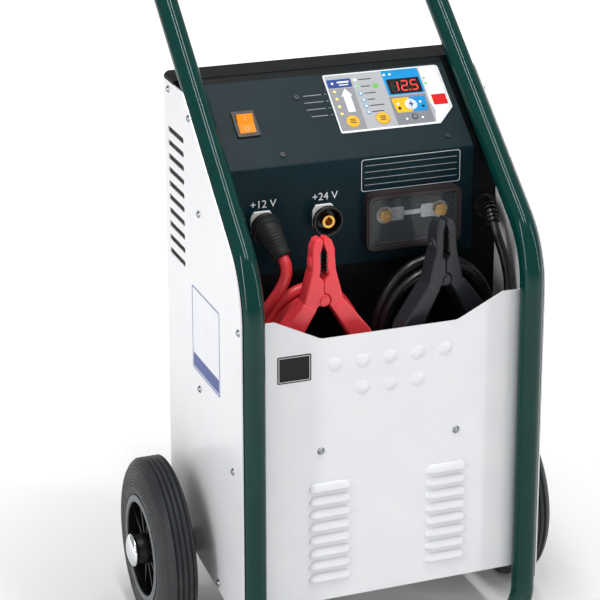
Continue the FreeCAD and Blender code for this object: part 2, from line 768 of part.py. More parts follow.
def socket_insert(x):
    """Brass contact tube of an output socket."""
    z0 = plate_t + hex_t
    tube = Part.makeCylinder(insert_d / 2, socket_depth + 16, V(x, socket_z, z0 - 16))
    bore = Part.makeCylinder(insert_bore / 2, socket_depth, V(x, socket_z, z0))
    key_way = box(x - 1.2, x + 1.2, socket_z, socket_z + insert_bore / 2 + 1.2, z0 + 2, z0 + socket_depth + 1)
    return on_face(tube.cut(bore).cut(key_way))


def fuse_corners(border=0.0, r=9.0):
    """Outline of the fuse window, inset by a border."""
    return rectangle(fuse_x - fuse_w / 2 + border, fuse_z - fuse_h / 2 + border, fuse_x + fuse_w / 2 - border,
                     fuse_z + fuse_h / 2 - border, r)


def fuse_frame():
    """Raised frame round the fuse window, with a step that carries the clear cover."""
    frame = prism_z(fuse_corners(), plate_t, plate_t + fuse_depth - 2)
    rim = prism_z(fuse_corners(1.4, 8), plate_t + fuse_depth - 2.01, plate_t + fuse_depth)
    frame = frame.fuse(rim)
    frame = frame.cut(prism_z(fuse_corners(fuse_border, 5), 0, 40))
    step = prism_z(fuse_corners(fuse_border - 2, 6), plate_t + fuse_depth - cover_t - 0.6, plate_t + fuse_depth + 1)
    return on_face(frame.cut(step).removeSplitter())


def fuse_cover():
    """Clear cover of the fuse window."""
    z0 = plate_t + fuse_depth - cover_t - 0.6
    cover = prism_z(fuse_corners(fuse_border - 2 + 0.2, 5.8), z0, z0 + cover_t)
    return on_face(cover)


def fuse_base():
    """Insulating base with the two fuse studs."""
    base = prism_z(fuse_corners(fuse_border + seat, 4.7), plate_t, plate_t + fuse_base_t)
    rails = [box(fuse_x - 36, fuse_x + 36, fuse_z + dz - 1.5, fuse_z + dz + 1.5, plate_t + fuse_base_t - 0.1,
                 plate_t + fuse_base_t + 1.6) for dz in (-16, 19)]
    return on_face(base.fuse(rails).removeSplitter())


def fuse_strip():
    """Fuse link: two lugs joined by a narrow waist."""
    z0 = plate_t + fuse_base_t
    lugs = []
    y = fuse_z + fuse_stud_z
    for side in (-1, 1):
        x = fuse_x + side * fuse_stud_x
        tab = rectangle(min(x, x - side * 22), y - 7.5, max(x, x - side * 22), y + 7.5, 2)
        lugs.append(prism_z(tab, z0, z0 + strip_t))
        lugs.append(Part.makeCylinder(9.5, strip_t, V(x, y, z0)))
    waist = box(fuse_x - 11, fuse_x + 11, y - 2.6, y + 2.6, z0, z0 + strip_t)
    strip = waist.fuse(lugs)
    for side in (-1, 1):
        strip = strip.cut(Part.makeCylinder(fuse_stud_d / 2, 10, V(fuse_x + side * fuse_stud_x, y, z0 - 2)))
    return on_face(strip.removeSplitter())


def fuse_nuts():
    """Brass studs with their hexagon nuts."""
    nuts = []
    y = fuse_z + fuse_stud_z
    z0 = plate_t + fuse_base_t + strip_t
    for side in (-1, 1):
        x = fuse_x + side * fuse_stud_x
        nut = prism_z(hexagon(x, y, nut_flats / math.sqrt(3), 15), z0, z0 + nut_t)
        stud = Part.makeCylinder(fuse_stud_d / 2 - running, nut_t + strip_t + 0.9, V(x, y, z0 - strip_t))
        nuts.append(on_face(nut.fuse(stud).removeSplitter()))
    return Part.makeCompound(nuts)


# Leads

gland_neck_r = 7.0
black_gland_x = 84.0
black_gland_z = 340.0


def ribbed_relief(x, z, r0, r1, bend_points, ribs):
    """Strain relief: a flange, a tapering ribbed sleeve and a neck in the wall."""
    neck = Part.makeCylinder(gland_neck_r, console_wall + 4, V(x, face_y - 1, z), V(0, 1, 0))
    disc = Part.makeCylinder(r0 + 3, 3.0, V(x, face_y - 3.0, z), V(0, 1, 0))
    parts = [neck]
    path = path_wire(bend_points, [22.0] * (len(bend_points) - 2))
    length = path.Length
    for i in range(ribs):
        s = (i + 0.5) / ribs * length
        spot, way = point_on(path, s)
        r = r0 + (r1 - r0) * i / (ribs - 1)
        parts.append(Part.makeCylinder(r, length / ribs * 0.62, spot - way * (length / ribs * 0.31), way))
    core = swept(bend_points, [22.0] * (len(bend_points) - 2), r1 - 1.2)
    return disc.fuse(parts).fuse(core).removeSplitter()


def point_on(path, s):
    """Point and direction so far along a path."""
    for edge in path.OrderedEdges:
        if s <= edge.Length + 1e-6:
            parameter = edge.getParameterByLength(s if edge.Orientation == "Forward" else edge.Length - s)
            way = edge.tangentAt(parameter)
            return edge.valueAt(parameter), way * (1 if edge.Orientation == "Forward" else -1)
        s -= edge.Length
    return None


def mains_gland_path():
    """Way of the mains lead's strain relief out of the console, bending down."""
    x, z = mains_gland_x, mains_gland_z
    return [V(x, face_y - 2, z), V(x - 0.7, face_y - 17, z - 1), V(x - 2, face_y - 30, z - 12)]


def mains_gland():
    """Ribbed strain relief of the mains lead."""
    return ribbed_relief(mains_gland_x, mains_gland_z, 10.5, 7.6, mains_gland_path(), 7)


def mains_lead():
    """Mains lead from its strain relief down into the pocket."""
    start = mains_gland_path()[-1]
    way = (start - mains_gland_path()[-2]).normalize()
    top = tray_floor + seat + hank_turns * mains_d
    hank_y = hank_front() + mains_d / 2 + 2.2
    x = mains_gland_x
    points = [start, start + way * 15, V(x + 2, 73, 434), V(x + 5.5, 67, 412), V(x + 4.5, 60, 388),
              V(x + 1, 46, 360), V(x - 9, 32, 338), V(x - 21, hank_y, top + 18), V(x - 21, hank_y, top)]
    return lead_tube("mains_lead", points, mains_d)


def hank_front():
    """Front of the mains lead's hank, just behind the tray's lip."""
    return front_back + sheet + 2 * seat


def mains_hank():
    """Hank of the put away mains lead, lying on the pocket's tray."""
    y0 = hank_front()
    z0 = tray_floor + seat
    z1 = z0 + hank_turns * mains_d
    r = hank_depth / 2
    ring = prism_z(rectangle(hank_x0, y0, hank_x1, y0 + hank_depth, r - 0.01), z0, z1)
    d = mains_d
    hole = rectangle(hank_x0 + d, y0 + d, hank_x1 - d, y0 + hank_depth - d, r - d - 0.01)
    return ring.cut(prism_z(hole, z0 - 1, z1 + 1))


def mains_plug():
    """Moulded two pin mains plug, lying flat in the pocket at the hank's end."""
    half_w = 15.5
    half_t = 9.6
    y = hank_front() + half_w + 1
    z = tray_floor + seat + half_t
    x1 = hank_x0 + 4
    collar = Part.makeCylinder(6.0, 18, V(x1 - 18, y, z), V(1, 0, 0))
    body = Part.makeCone(half_t, 7.4, 22, V(x1 - 37, y, z), V(1, 0, 0))
    head = prism_x(rectangle(y - half_w, z - half_t, y + half_w, z + half_t, 8), x1 - 48, x1 - 32)
    parts = [body, head]
    for side in (-1, 1):
        parts.append(Part.makeCylinder(2.4, 20, V(x1 - 67, y + side * 9.5, z), V(1, 0, 0)))
    return collar.fuse(parts).removeSplitter()


def plug_axis():
    """Ends of the red lead's connector axis."""
    start = V(socket_12_x, face_y - plate_t - hex_t - socket_depth - seat, socket_z)
    return start, V(socket_12_x + 8, 74, 458)


def red_plug():
    """Rubber boot of the red lead's connector, with its contact pin in the socket."""
    start, end = plug_axis()
    way = (end - start).normalize()
    collar = Part.makeCylinder(socket_d / 2 - 1, 9, start + V(0, 0, 0), V(0, -1, 0))
    pin = Part.makeCylinder(insert_bore / 2 - running, socket_depth - 2, start, V(0, 1, 0))
    shoulder = 13.5
    body = Part.makeCone(14.0, 9.6, (end - start).Length - shoulder, start + way * shoulder, way)
    grip = Part.makeCylinder(9.6, 6, end - way * 6, way)
    rings = []
    for i in range(3):
        spot = start + way * (16 + 7 * i)
        rings.append(Part.makeCylinder(13.4 - 0.9 * i, 3, spot, way))
    shape = collar.fuse([pin, body, grip] + rings)
    return shape.removeSplitter()


def coil_ring(x, r, d, top, z0, y0, y1):
    """Closed oval ring of a coiled lead that stands on the pocket's floor."""
    low = z0 + r
    high = top - r
    outer = [(x - r, low - r, r - 0.01), (x + r, low - r, r - 0.01), (x + r, high + r, r - 0.01),
             (x - r, high + r, r - 0.01)]
    q = r - d
    inner = [(x - q, low - q, q - 0.01), (x + q, low - q, q - 0.01), (x + q, high + q, q - 0.01),
             (x - q, high + q, q - 0.01)]
    return prism_y(outer, y0, y1).cut(prism_y(inner, y0 - 1, y1 + 1))


def red_coil():
    """Coil of the red lead."""
    return coil_ring(red_coil_x, red_coil_r, red_d, red_coil_top, tray_floor + seat, coil_front, coil_back)


def black_coil():
    """Coil of the black lead."""
    return coil_ring(black_coil_x, black_coil_r, black_d, black_coil_top, tray_floor + seat, coil_front, coil_back)


def red_lead():
    """Red lead from its connector to its coil, and from the coil to its clamp."""
    start, end = plug_axis()
    way = (end - start).normalize()
    points = [end, end + way * 12, V(-100, 66.5, 430), V(-112, 73, 409), V(-119, 86, 389), V(-117, 101, 369),
              V(-114.75, coil_back - red_d / 2, 348)]
    first = lead_tube("red_lead", points, red_d)
    grip = clamp_point(red_clamp_x, red_clamp_z, 0, 1)
    tail = [grip, grip + V(0, 0, -17.5), grip + V(-0.5, 16, -22), V(-12.5, coil_front + 4, grip.z - 23.5)]
    second = lead_tube("red_lead_tail", tail, red_d)
    return Part.makeCompound([first, second])


def black_gland_path():
    """Way of the black lead's gland out of the console."""
    x, z = black_gland_x, black_gland_z
    return [V(x, face_y - 2, z), V(x, face_y - 9, z), V(x, face_y - 16, z - 3)]


def black_gland():
    """Ribbed gland of the black lead, low on the console's face."""
    return ribbed_relief(black_gland_x, black_gland_z, 11.0, 8.8, black_gland_path(), 3)


def black_lead():
    """Black lead from its gland to its coil, and from the coil to its clamp."""
    x = black_gland_x
    start = black_gland_path()[-1]
    way = (start - black_gland_path()[-2]).normalize()
    points = [start, start + way * 20, V(x - 20, 90, 325), V(x - 42, 101, 318), V(x - 53, 107, 300)]
    first = lead_tube("black_lead", points, black_d)
    grip = clamp_point(black_clamp_x, black_clamp_z, black_clamp_turn, 1)
    tail = [grip, grip + V(0, 0, -19), grip + V(5, 9, -26), V(140, coil_front + 4, grip.z - 28.5)]
    second = lead_tube("black_lead_tail", tail, black_d)
    return Part.makeCompound([first, second])


# Clamps

clamp_end_x = 55.0
clamp_end_z = -92.0


def jaw_corners():
    """Outline of a clamp's right jaw in x and z, about its pivot."""
    g = clamp_gap / 2
    return [(g, 21.7, 0), (5.3, 27.5, 2.5), (3.6, 37, 3), (4.3, 50, 5), (0.6, 61.5, 0), (g, 63, 0), (2, 68, 1.5),
            (8.5, 66.5, 4), (12, 57, 8), (13, 34, 10), (22, -1, 2), (27, -13, 0), (16, -19, 0), (8.5, -9, 1),
            (5.0, -4.5, 0), (g, -4.5, 0)]


def grip_corners():
    """Outline of the sleeve over a clamp's right grip in x and z, about its pivot."""
    return [(23.5, -1.5, 1.5), (53, -39, 25), (64, -68, 30), (64, clamp_end_z, 0), (46, clamp_end_z, 0),
            (43, -68, 25), (27, -40, 30), (9, -9.5, 1)]


def mirrored(corners, side):
    """Outline on one side of the middle."""
    return [(side * x, z, r) for x, z, r in corners]


def clamp_half(side):
    """Insulated jaw and grip; the left half has the outer lugs and the right half the inner ones."""
    half_t = clamp_t / 2 - 1.2
    jaw = prism_y(mirrored(jaw_corners(), side), -half_t, half_t)
    taper = [(-half_t + 2.2, 69, 3), (half_t - 2.2, 69, 3), (half_t, 30, 10), (half_t, -40, 0), (-half_t, -40, 0),
             (-half_t, 30, 10)]
    jaw = jaw.common(prism_x(taper, -80, 80))
    clear = clamp_lug_r + 0.5
    split = half_t * 0.54
    inner_half = 3.3
    jaw = jaw.cut(Part.makeCylinder(clear, clamp_t + 2, V(0, -clamp_t / 2 - 1, 0), V(0, 1, 0)))
    y0, y1 = (split + 0.2, half_t) if side < 0 else (inner_half, split)
    parts = [prism_y(mirrored(grip_corners(), side), -clamp_t / 2, clamp_t / 2)]
    for way in (-1, 1):
        a, b = sorted((way * y0, way * y1))
        parts.append(Part.makeCylinder(clamp_lug_r, b - a, V(0, a, 0), V(0, 1, 0)))
        web = [(1.0, 4.5, 0), (clear + 2.5, 4.5, 0), (clear + 2.5, -4.5, 0), (1.0, -4.5, 0)]
        parts.append(prism_y(mirrored(web, side), a, b))
    parts.append(Part.makeCylinder(5.5, 3.4, V(side * 11.0, 0, 41), V(side, 0, 0)))
    half = jaw.fuse(parts)
    half = half.cut(Part.makeCylinder(clamp_pivot_r + running, clamp_t + 4, V(0, -clamp_t / 2 - 2, 0), V(0, 1, 0)))
    half = half.cut(Part.makeCylinder(2.4, 2.6, V(side * 12.4, 0, 41), V(side, 0, 0)))
    return half.removeSplitter()


def clamp_pin():
    """Pivot pin with two flat heads."""
    half_t = clamp_t / 2 - 1.2
    pin = Part.makeCylinder(clamp_pivot_r, 2 * half_t, V(0, -half_t, 0), V(0, 1, 0))
    heads = [Part.makeCylinder(4.6, 1.4, V(0, -half_t - 1.4 - running, 0), V(0, 1, 0)),
             Part.makeCylinder(4.6, 1.4, V(0, half_t + running, 0), V(0, 1, 0)),
             Part.makeCylinder(clamp_pivot_r, 2 * half_t + 1, V(0, -half_t - 0.5, 0), V(0, 1, 0))]
    return pin.fuse(heads).removeSplitter()


def clamp_spring():
    """Torsion spring round the pin, between the inner lugs."""
    wire = 1.0
    rings = [Part.makeTorus(4.3, wire, V(0, y, 0), V(0, 1, 0)) for y in (-1.9, 0, 1.9)]
    return rings[0].fuse(rings[1:])


def place_clamp(shape, x, z, turn):
    """Moves a clamp piece to its place in the pocket."""
    return placed(shape, V(x, clamp_y, z), V(0, 0, 1), turn)


def clamp_point(x, z, turn, side):
    """Middle of a grip's end, where its lead goes in."""
    angle = math.radians(turn)
    reach = side * clamp_end_x
    return V(x + reach * math.cos(angle), clamp_y + reach * math.sin(angle), z + clamp_end_z)


# Wheels

def along_x(profile, side):
    """Turns a profile of distance from the wheel's outer face and radius into a ring round the axle."""
    x0 = side * tyre_outer_x
    wire = rounded_wire(profile, lambda a, b: V(x0 - side * a, wheel_y, wheel_r + b))
    ring = Part.Face(wire).revolve(V(0, wheel_y, wheel_r), V(1, 0, 0), 360)
    return ring if ring.Volume > 0 else ring.reversed()


def tyre(side):
    """Solid tyre with rounded shoulders and grooves round its tread."""
    w = tyre_w
    profile = [(1.5, rim_r, 0), (0, rim_r + bead_rise, 4), (6.5, wheel_r - outer_shoulder, 16), (13, wheel_r, 9),
               (w - 9, wheel_r, 9), (w - 2.5, wheel_r - inner_shoulder, 12), (w, rim_r + bead_rise, 4),
               (w - 1.5, rim_r, 0)]
    ring = along_x(profile, side)
    for i in range(tyre_grooves):
        a = 14.5 + i * (w - 25) / (tyre_grooves - 1)
        groove = [(a - 0.8, wheel_r - 2.6, 0), (a + 0.8, wheel_r - 2.6, 0), (a + 0.8, wheel_r + 3, 0),
                  (a - 0.8, wheel_r + 3, 0)]
        ring = ring.cut(along_x(groove, side))
    return ring


def hub(side):
    """Moulded hub: rim with a lip, recessed web with radial ribs, long boss with the bore."""
    w = tyre_w
    bore = axle_d / 2 + running
    rim = along_x([(0.5, rim_lip_r, 1), (0.5, rim_r - running, 0), (w - 0.5, rim_r - running, 0),
                   (w - 0.5, rim_lip_r, 1)], side)
    web = along_x([(22, boss_r - 1, 0), (22, rim_lip_r + 1, 0), (26, rim_lip_r + 1, 0), (26, boss_r - 1, 0)], side)
    boss_out = -6.0
    boss_in = tyre_outer_x - panel_out - 1.0
    boss = along_x([(boss_out, bore, 0), (boss_out, boss_r - 2, 1), (4, boss_r, 0), (w - 4, boss_r, 0),
                    (boss_in, boss_r - 4, 1), (boss_in, bore, 0)], side)
    parts = [web, boss]
    x0 = side * tyre_outer_x
    for i in range(spokes):
        a, b = sorted((x0 - side * 7, x0 - side * 24))
        rib = box(a, b, -1.4, 1.4, boss_r - 1.5, rim_lip_r + 1)
        rib.translate(V(0, wheel_y, wheel_r))
        rib.rotate(V(0, wheel_y, wheel_r), V(1, 0, 0), 360.0 / spokes * i + 9)
        parts.append(rib)
    return rim.fuse(parts).removeSplitter()


def axle_cap(side):
    """Bright domed cap pressed on the axle's end."""
    skirt = -6.3
    outer = [(skirt, cap_r, 0), (skirt - 2, cap_r, 1), (skirt - cap_rise, 7, 5), (skirt - cap_rise - 0.4, 0.01, 0),
             (skirt - cap_rise + 1.2, 0.01, 0), (skirt - cap_rise + 1.6, 6, 4), (skirt - 1.4, cap_r - 1.6, 1),
             (skirt, cap_r - 1.6, 0)]
    dome_part = along_x(outer, side)
    sleeve = along_x([(skirt, axle_d / 2, 0), (skirt, axle_d / 2 + 1.6, 0), (skirt - cap_rise + 1.5, axle_d / 2 + 1.6, 0),
                      (skirt - cap_rise + 1.5, axle_d / 2, 0)], side)
    return dome_part.fuse(sleeve).removeSplitter()


def axle():
    """Steel axle through both side panels and the base plate's hangers."""
    half = tyre_outer_x + 6.3 + cap_rise - 4.5
    return rod(axle_d / 2, V(-half, wheel_y, wheel_r), V(half, wheel_y, wheel_r))


# Inside

def transformer_core():
    """Stack of E and I laminations on the base plate."""
    z0 = base_z + sheet + seat
    y0 = wheel_y - core_d / 2
    block = box(-core_w / 2, core_w / 2, y0, y0 + core_d, z0, z0 + core_h)
    window = (core_w - limb_w) / 4 - 0.0
    for side in (-1, 1):
        a, b = sorted((side * limb_w / 2, side * (limb_w / 2 + window)))
        block = block.cut(box(a, b, y0 - 1, y0 + core_d + 1, z0 + limb_w / 2, z0 + core_h - limb_w / 2))
    return block


def transformer_winding():
    """Winding round the core's middle limb."""
    z0 = base_z + sheet + seat + limb_w / 2 + 0.5
    z1 = z0 + core_h - limb_w - 1.0
    window = (core_w - limb_w) / 4
    grow = window - 1.0
    y0 = wheel_y - core_d / 2
    outer = prism_z(rectangle(-limb_w / 2 - grow, y0 - grow, limb_w / 2 + grow, y0 + core_d + grow, 8), z0, z1)
    inner = box(-limb_w / 2 - seat, limb_w / 2 + seat, y0 - seat, y0 + core_d + seat, z0 - 1, z1 + 1)
    return outer.cut(inner)


def rectifier():
    """Finned heat sink with its diodes, on the base plate."""
    z0 = base_z + sheet + seat
    x0 = half_span - rectifier_inset
    plate = box(x0, x0 + 4, 130, 220, z0, z0 + 80)
    fins = [box(x0 + 3.9, x0 + 28, 132 + i * 12, 134 + i * 12, z0, z0 + 80) for i in range(8)]
    diodes = [Part.makeCylinder(6, 10, V(x0 + 0.1, 150 + i * 45, z0 + 45), V(-1, 0, 0)) for i in range(2)]
    return plate.fuse(fins + diodes).removeSplitter()


def main():
    """Writes every piece."""
    os.makedirs("parts", exist_ok=True)
    save("frame_tube", frame_tube())
    save("handle_tube", handle_tube())
    for side, word in ((-1, "left"), (1, "right")):
        save("foot_pad_" + word, foot_pad(side))
        save("side_panel_" + word, side_panel(side))
        save("tyre_" + word, tyre(side))
        save("hub_" + word, hub(side))
        save("cap_" + word, axle_cap(side))
    save("axle", axle())
    save("front_panel", front_panel())
    save("rear_panel", rear_panel())
    save("base_plate", base_plate())
    save("pocket_tray", pocket_tray())
    save("panel_screws", panel_screws())
    save("console_housing", console_housing())
    save("face_plate", face_plate())
    save("face_screws", face_screws())
    save("keypad_overlay", keypad_overlay())
    save("display_module", display_module())
    for name in key_spots():
        save(name, key(name))
    save("rocker_bezel", rocker_bezel())
    save("rocker_paddle", rocker_paddle())
    save("socket_nuts", socket_nuts())
    for word, x in (("12v", socket_12_x), ("24v", socket_24_x)):
        save("socket_body_" + word, socket_body(x))
        save("socket_insert_" + word, socket_insert(x))
    save("fuse_frame", fuse_frame())
    save("fuse_cover", fuse_cover())
    save("fuse_base", fuse_base())
    save("fuse_strip", fuse_strip())
    save("fuse_nuts", fuse_nuts())
    save("mains_gland", mains_gland())
    save("mains_lead", mains_lead())
    save("mains_hank", mains_hank())
    save("mains_plug", mains_plug())
    save("red_plug", red_plug())
    save("red_lead", red_lead())
    save("red_coil", red_coil())
    save("black_gland", black_gland())
    save("black_lead", black_lead())
    save("black_coil", black_coil())
    clamps = (("red", red_clamp_x, red_clamp_z, 0.0), ("black", black_clamp_x, black_clamp_z, black_clamp_turn))
    for word, x, z, turn in clamps:
        save(word + "_clamp_left", place_clamp(clamp_half(-1), x, z, turn))
        save(word + "_clamp_right", place_clamp(clamp_half(1), x, z, turn))
        save(word + "_clamp_pin", place_clamp(clamp_pin(), x, z, turn))
        save(word + "_clamp_spring", place_clamp(clamp_spring(), x, z, turn))
    save("transformer_core", transformer_core())
    save("transformer_winding", transformer_winding())
    save("rectifier", rectifier())


main()
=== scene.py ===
import json
import logging
import math
from dataclasses import dataclass
from enum import Enum
from typing import Callable, Sequence, Union

import bmesh
import bpy
from mathutils import Matrix, Vector


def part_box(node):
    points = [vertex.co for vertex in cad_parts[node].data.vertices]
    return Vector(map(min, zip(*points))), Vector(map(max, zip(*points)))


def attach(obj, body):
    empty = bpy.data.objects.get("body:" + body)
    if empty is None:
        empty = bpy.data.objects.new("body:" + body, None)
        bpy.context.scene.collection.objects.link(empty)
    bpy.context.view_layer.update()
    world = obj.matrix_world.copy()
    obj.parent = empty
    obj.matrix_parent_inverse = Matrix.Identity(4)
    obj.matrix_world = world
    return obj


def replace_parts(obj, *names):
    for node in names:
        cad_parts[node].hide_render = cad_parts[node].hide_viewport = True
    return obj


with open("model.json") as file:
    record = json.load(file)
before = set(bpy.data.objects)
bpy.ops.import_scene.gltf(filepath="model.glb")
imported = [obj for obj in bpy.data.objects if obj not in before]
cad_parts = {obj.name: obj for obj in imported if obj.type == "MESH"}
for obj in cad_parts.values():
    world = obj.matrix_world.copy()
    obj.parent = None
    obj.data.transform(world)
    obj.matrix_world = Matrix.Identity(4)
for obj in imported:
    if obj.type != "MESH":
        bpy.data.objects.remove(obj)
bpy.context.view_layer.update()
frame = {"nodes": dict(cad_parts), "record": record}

# Looks of a wheeled battery charger and starter: finishes, leads, prints, lights and camera.
# Sizes are in millimetres in the drawing's own frame, with y = 0 in the plane of the upright tubes.

log = logging.getLogger("trolley")

MM = 0.001
WHEEL_Y = 170.0
Y_MID = WHEEL_Y - sum(corner.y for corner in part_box("axle")) / 2 / MM
LEAN = math.radians(50.5)
SIN_LEAN = math.sin(LEAN)
COS_LEAN = math.cos(LEAN)
FACE_Y = 120.0
FRONT_Y = 12.8
LEFT_X = -170.8
SLOPE_Z = 460.8
SLOPE_W = 12.8
CREASE_Z = SLOPE_Z + (FACE_Y * COS_LEAN - SLOPE_W) / SIN_LEAN
PLATE_T = 1.0
OVERLAY_TOP = 1.6
BOOT_START = (-105.0, 101.7, 482.0)
BOOT_END = (-97.0, 74.0, 458.0)
WELD = 1e-6

Outline = Sequence[tuple[float, float, float]]
Place = Callable[[float, float, float], Vector]
Number = Union[float, "Socket"]
Colour = tuple[float, float, float, float]
Spot = tuple[float, float, float]
Mesh = bmesh.types.BMesh
Piece = bpy.types.Object


class Body(Enum):
    """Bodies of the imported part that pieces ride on."""

    TROLLEY = "trolley"
    WHEEL_LEFT = "wheel_left"
    WHEEL_RIGHT = "wheel_right"
    ROCKER = "rocker"
    MODE_KEY = "mode_key"
    SELECT_KEY = "select_key"
    BOOST_KEY = "boost_key"
    VOLTAGE_KEY = "voltage_key"
    RED_JAW = "red_jaw"
    BLACK_JAW = "black_jaw"


def at(x: float, y: float, z: float) -> Vector:
    """Point of the drawing, in metres in the part's frame."""
    return Vector((x, y - Y_MID, z)) * MM


def on_slope(u: float, v: float, w: float) -> Vector:
    """Point on the console's slope: u to the right, v up the slope from the crease, w out of it."""
    return at(u, FACE_Y + v * SIN_LEAN - w * COS_LEAN, CREASE_Z + v * COS_LEAN + w * SIN_LEAN)


def on_face(x: float, z: float, w: float) -> Vector:
    """Point on the console's upright face, w out of it."""
    return at(x, FACE_Y - w, z)


def on_front(x: float, z: float, w: float) -> Vector:
    """Point on the white front panel, w out of it."""
    return at(x, FRONT_Y - w, z)


def on_left(y: float, z: float, w: float) -> Vector:
    """Point on the left side panel, w out of it."""
    return at(LEFT_X - w, y, z)


def linear(hexadecimal: str) -> Colour:
    """Scene-linear colour of a written screen colour.

    Args:
        hexadecimal: six hexadecimal digits.

    Returns:
        Red, green, blue and an alpha of one.
    """
    parts = [int(hexadecimal[i:i + 2], 16) / 255 for i in (0, 2, 4)]
    low = [p / 12.92 if p <= 0.04045 else ((p + 0.055) / 1.055) ** 2.4 for p in parts]
    return (low[0], low[1], low[2], 1.0)


# Shader building

class Socket:
    """Output of a shader node whose arithmetic adds Math nodes."""

    def __init__(self, sheet: "NodeSheet", link: bpy.types.NodeSocket) -> None:
        """Wraps one output of a node."""
        self.sheet = sheet
        self.link = link

    def _maths(self, operation: str, first: Number, second: Number) -> "Socket":
        """Adds one Math node and returns its output."""
        return self.sheet.out("ShaderNodeMath", {"operation": operation}, {0: first, 1: second})

    def __add__(self, other: Number) -> "Socket":
        """Sum."""
        return self._maths("ADD", self, other)

    def __radd__(self, other: Number) -> "Socket":
        """Sum, reflected."""
        return self._maths("ADD", other, self)

    def __sub__(self, other: Number) -> "Socket":
        """Difference."""
        return self._maths("SUBTRACT", self, other)

    def __rsub__(self, other: Number) -> "Socket":
        """Difference, reflected."""
        return self._maths("SUBTRACT", other, self)

    def __mul__(self, other: Number) -> "Socket":
        """Product."""
        return self._maths("MULTIPLY", self, other)

    def __rmul__(self, other: Number) -> "Socket":
        """Product, reflected."""
        return self._maths("MULTIPLY", other, self)

    def over(self, edge: float, softness: float) -> "Socket":
        """Smooth step from 0 to 1 where the value passes an edge.

        Args:
            edge: the value at which the step is half way.
            softness: how far the step reaches on each side.

        Returns:
            The step.
        """
        return self.sheet.out(
            "ShaderNodeMapRange", {"interpolation_type": "SMOOTHSTEP"},
            {"Value": self, "From Min": edge - softness, "From Max": edge + softness})


class NodeSheet:
    """Node tree of one material."""

    def __init__(self, name: str) -> None:
        """Starts an empty material."""
        self.material = bpy.data.materials.new(name)
        self.material.use_nodes = True
        self.tree = self.material.node_tree
        self.tree.nodes.clear()

    def node(self, kind: str, settings: dict, inputs: dict) -> bpy.types.Node:
        """Adds a node of any type.

        Args:
            kind: the node's type.
            settings: properties that are set first, with a ramp's stops under "stops".
            inputs: values or sockets, by input name or number.

        Returns:
            The node.
        """
        node = self.tree.nodes.new(kind)
        for key, value in settings.items():
            if key != "stops":
                setattr(node, key, value)
                continue
            for element, (position, colour) in zip(node.color_ramp.elements, value):
                element.position = position
                element.color = colour
        for key, value in inputs.items():
            if isinstance(value, Socket):
                self.tree.links.new(value.link, node.inputs[key])
            else:
                node.inputs[key].default_value = value
        return node

    def out(self, kind: str, settings: dict, inputs: dict, output: Union[int, str] = 0) -> Socket:
        """Adds a node and returns one of its outputs."""
        return Socket(self, self.node(kind, settings, inputs).outputs[output])

    def place(self) -> Socket:
        """Position on the piece, in metres."""
        return self.out("ShaderNodeTexCoord", {}, {}, "Object")

    def stretched(self, vector: Socket, by: tuple[float, float, float]) -> Socket:
        """Vector scaled on each axis."""
        return self.out("ShaderNodeVectorMath", {"operation": "MULTIPLY"}, {0: vector, 1: by})

    def noise(self, vector: Socket, size: float, detail: float = 3.0) -> Socket:
        """Noise between 0 and 1 whose lumps are about so many millimetres wide."""
        inputs = {"Vector": vector, "Scale": 1 / (size * MM), "Detail": detail, "Roughness": 0.55}
        return self.out("ShaderNodeTexNoise", {}, inputs)

    def mixed(self, factor: Number, first: Union[Colour, Socket], second: Union[Colour, Socket]) -> Socket:
        """Mix of two colours."""
        return self.out("ShaderNodeMix", {"data_type": "RGBA"}, {0: factor, 6: first, 7: second}, 2)

    def axes(self, vector: Socket) -> tuple[Socket, Socket, Socket]:
        """The three parts of a vector."""
        node = self.node("ShaderNodeSeparateXYZ", {}, {0: vector})
        return tuple(Socket(self, output) for output in node.outputs)

    def bump(self, height: Socket, depth: float, strength: float) -> Socket:
        """Normal of a relief, so many millimetres deep."""
        inputs = {"Height": height, "Distance": depth * MM, "Strength": strength}
        return self.out("ShaderNodeBump", {}, inputs)

    def close(self, inputs: dict) -> bpy.types.Material:
        """Adds the surface shader and the output, and returns the finished material."""
        surface = self.out("ShaderNodeBsdfPrincipled", {}, inputs)
        self.node("ShaderNodeOutputMaterial", {}, {0: surface})
        return self.material


@dataclass(frozen=True)
class Finish:
    """Surface with a mottled colour, uneven gloss and a fine grain. Sizes are in millimetres."""

    name: str
    colour: str
    shade: str
    roughness: float = 0.32
    uneven: float = 0.05
    metallic: float = 0.0
    coat: float = 0.0
    grain: float = 0.5
    depth: float = 0.01
    mottle: float = 9.0
    mirror: float = 0.2

    def tint(self, sheet: NodeSheet, place: Socket) -> Socket:
        """Colour over the surface: two close tones in soft lumps."""
        lumps = sheet.noise(place, self.mottle).over(0.5, 0.35)
        return sheet.mixed(lumps, linear(self.colour), linear(self.shade))

    def relief(self, sheet: NodeSheet, place: Socket) -> Socket:
        """Normal over the surface: a fine even grain."""
        return sheet.bump(sheet.noise(place, self.grain, 2.0), self.depth, 0.6)

    def gloss(self, sheet: NodeSheet, place: Socket) -> Socket:
        """Roughness over the surface: handled patches are smoother."""
        patches = sheet.noise(place, self.mottle * 0.6, 4.0)
        return (patches - 0.5) * (2 * self.uneven) + self.roughness

    def extras(self) -> dict:
        """Inputs that are the same all over."""
        return {"Metallic": self.metallic, "Coat Weight": self.coat, "Coat Roughness": 0.06,
                "Specular IOR Level": self.mirror}

    def build(self) -> bpy.types.Material:
        """Makes the material."""
        sheet = NodeSheet(self.name)
        place = sheet.place()
        inputs = {"Base Color": self.tint(sheet, place), "Roughness": self.gloss(sheet, place),
                  "Normal": self.relief(sheet, place)}
        inputs.update(self.extras())
        return sheet.close(inputs)


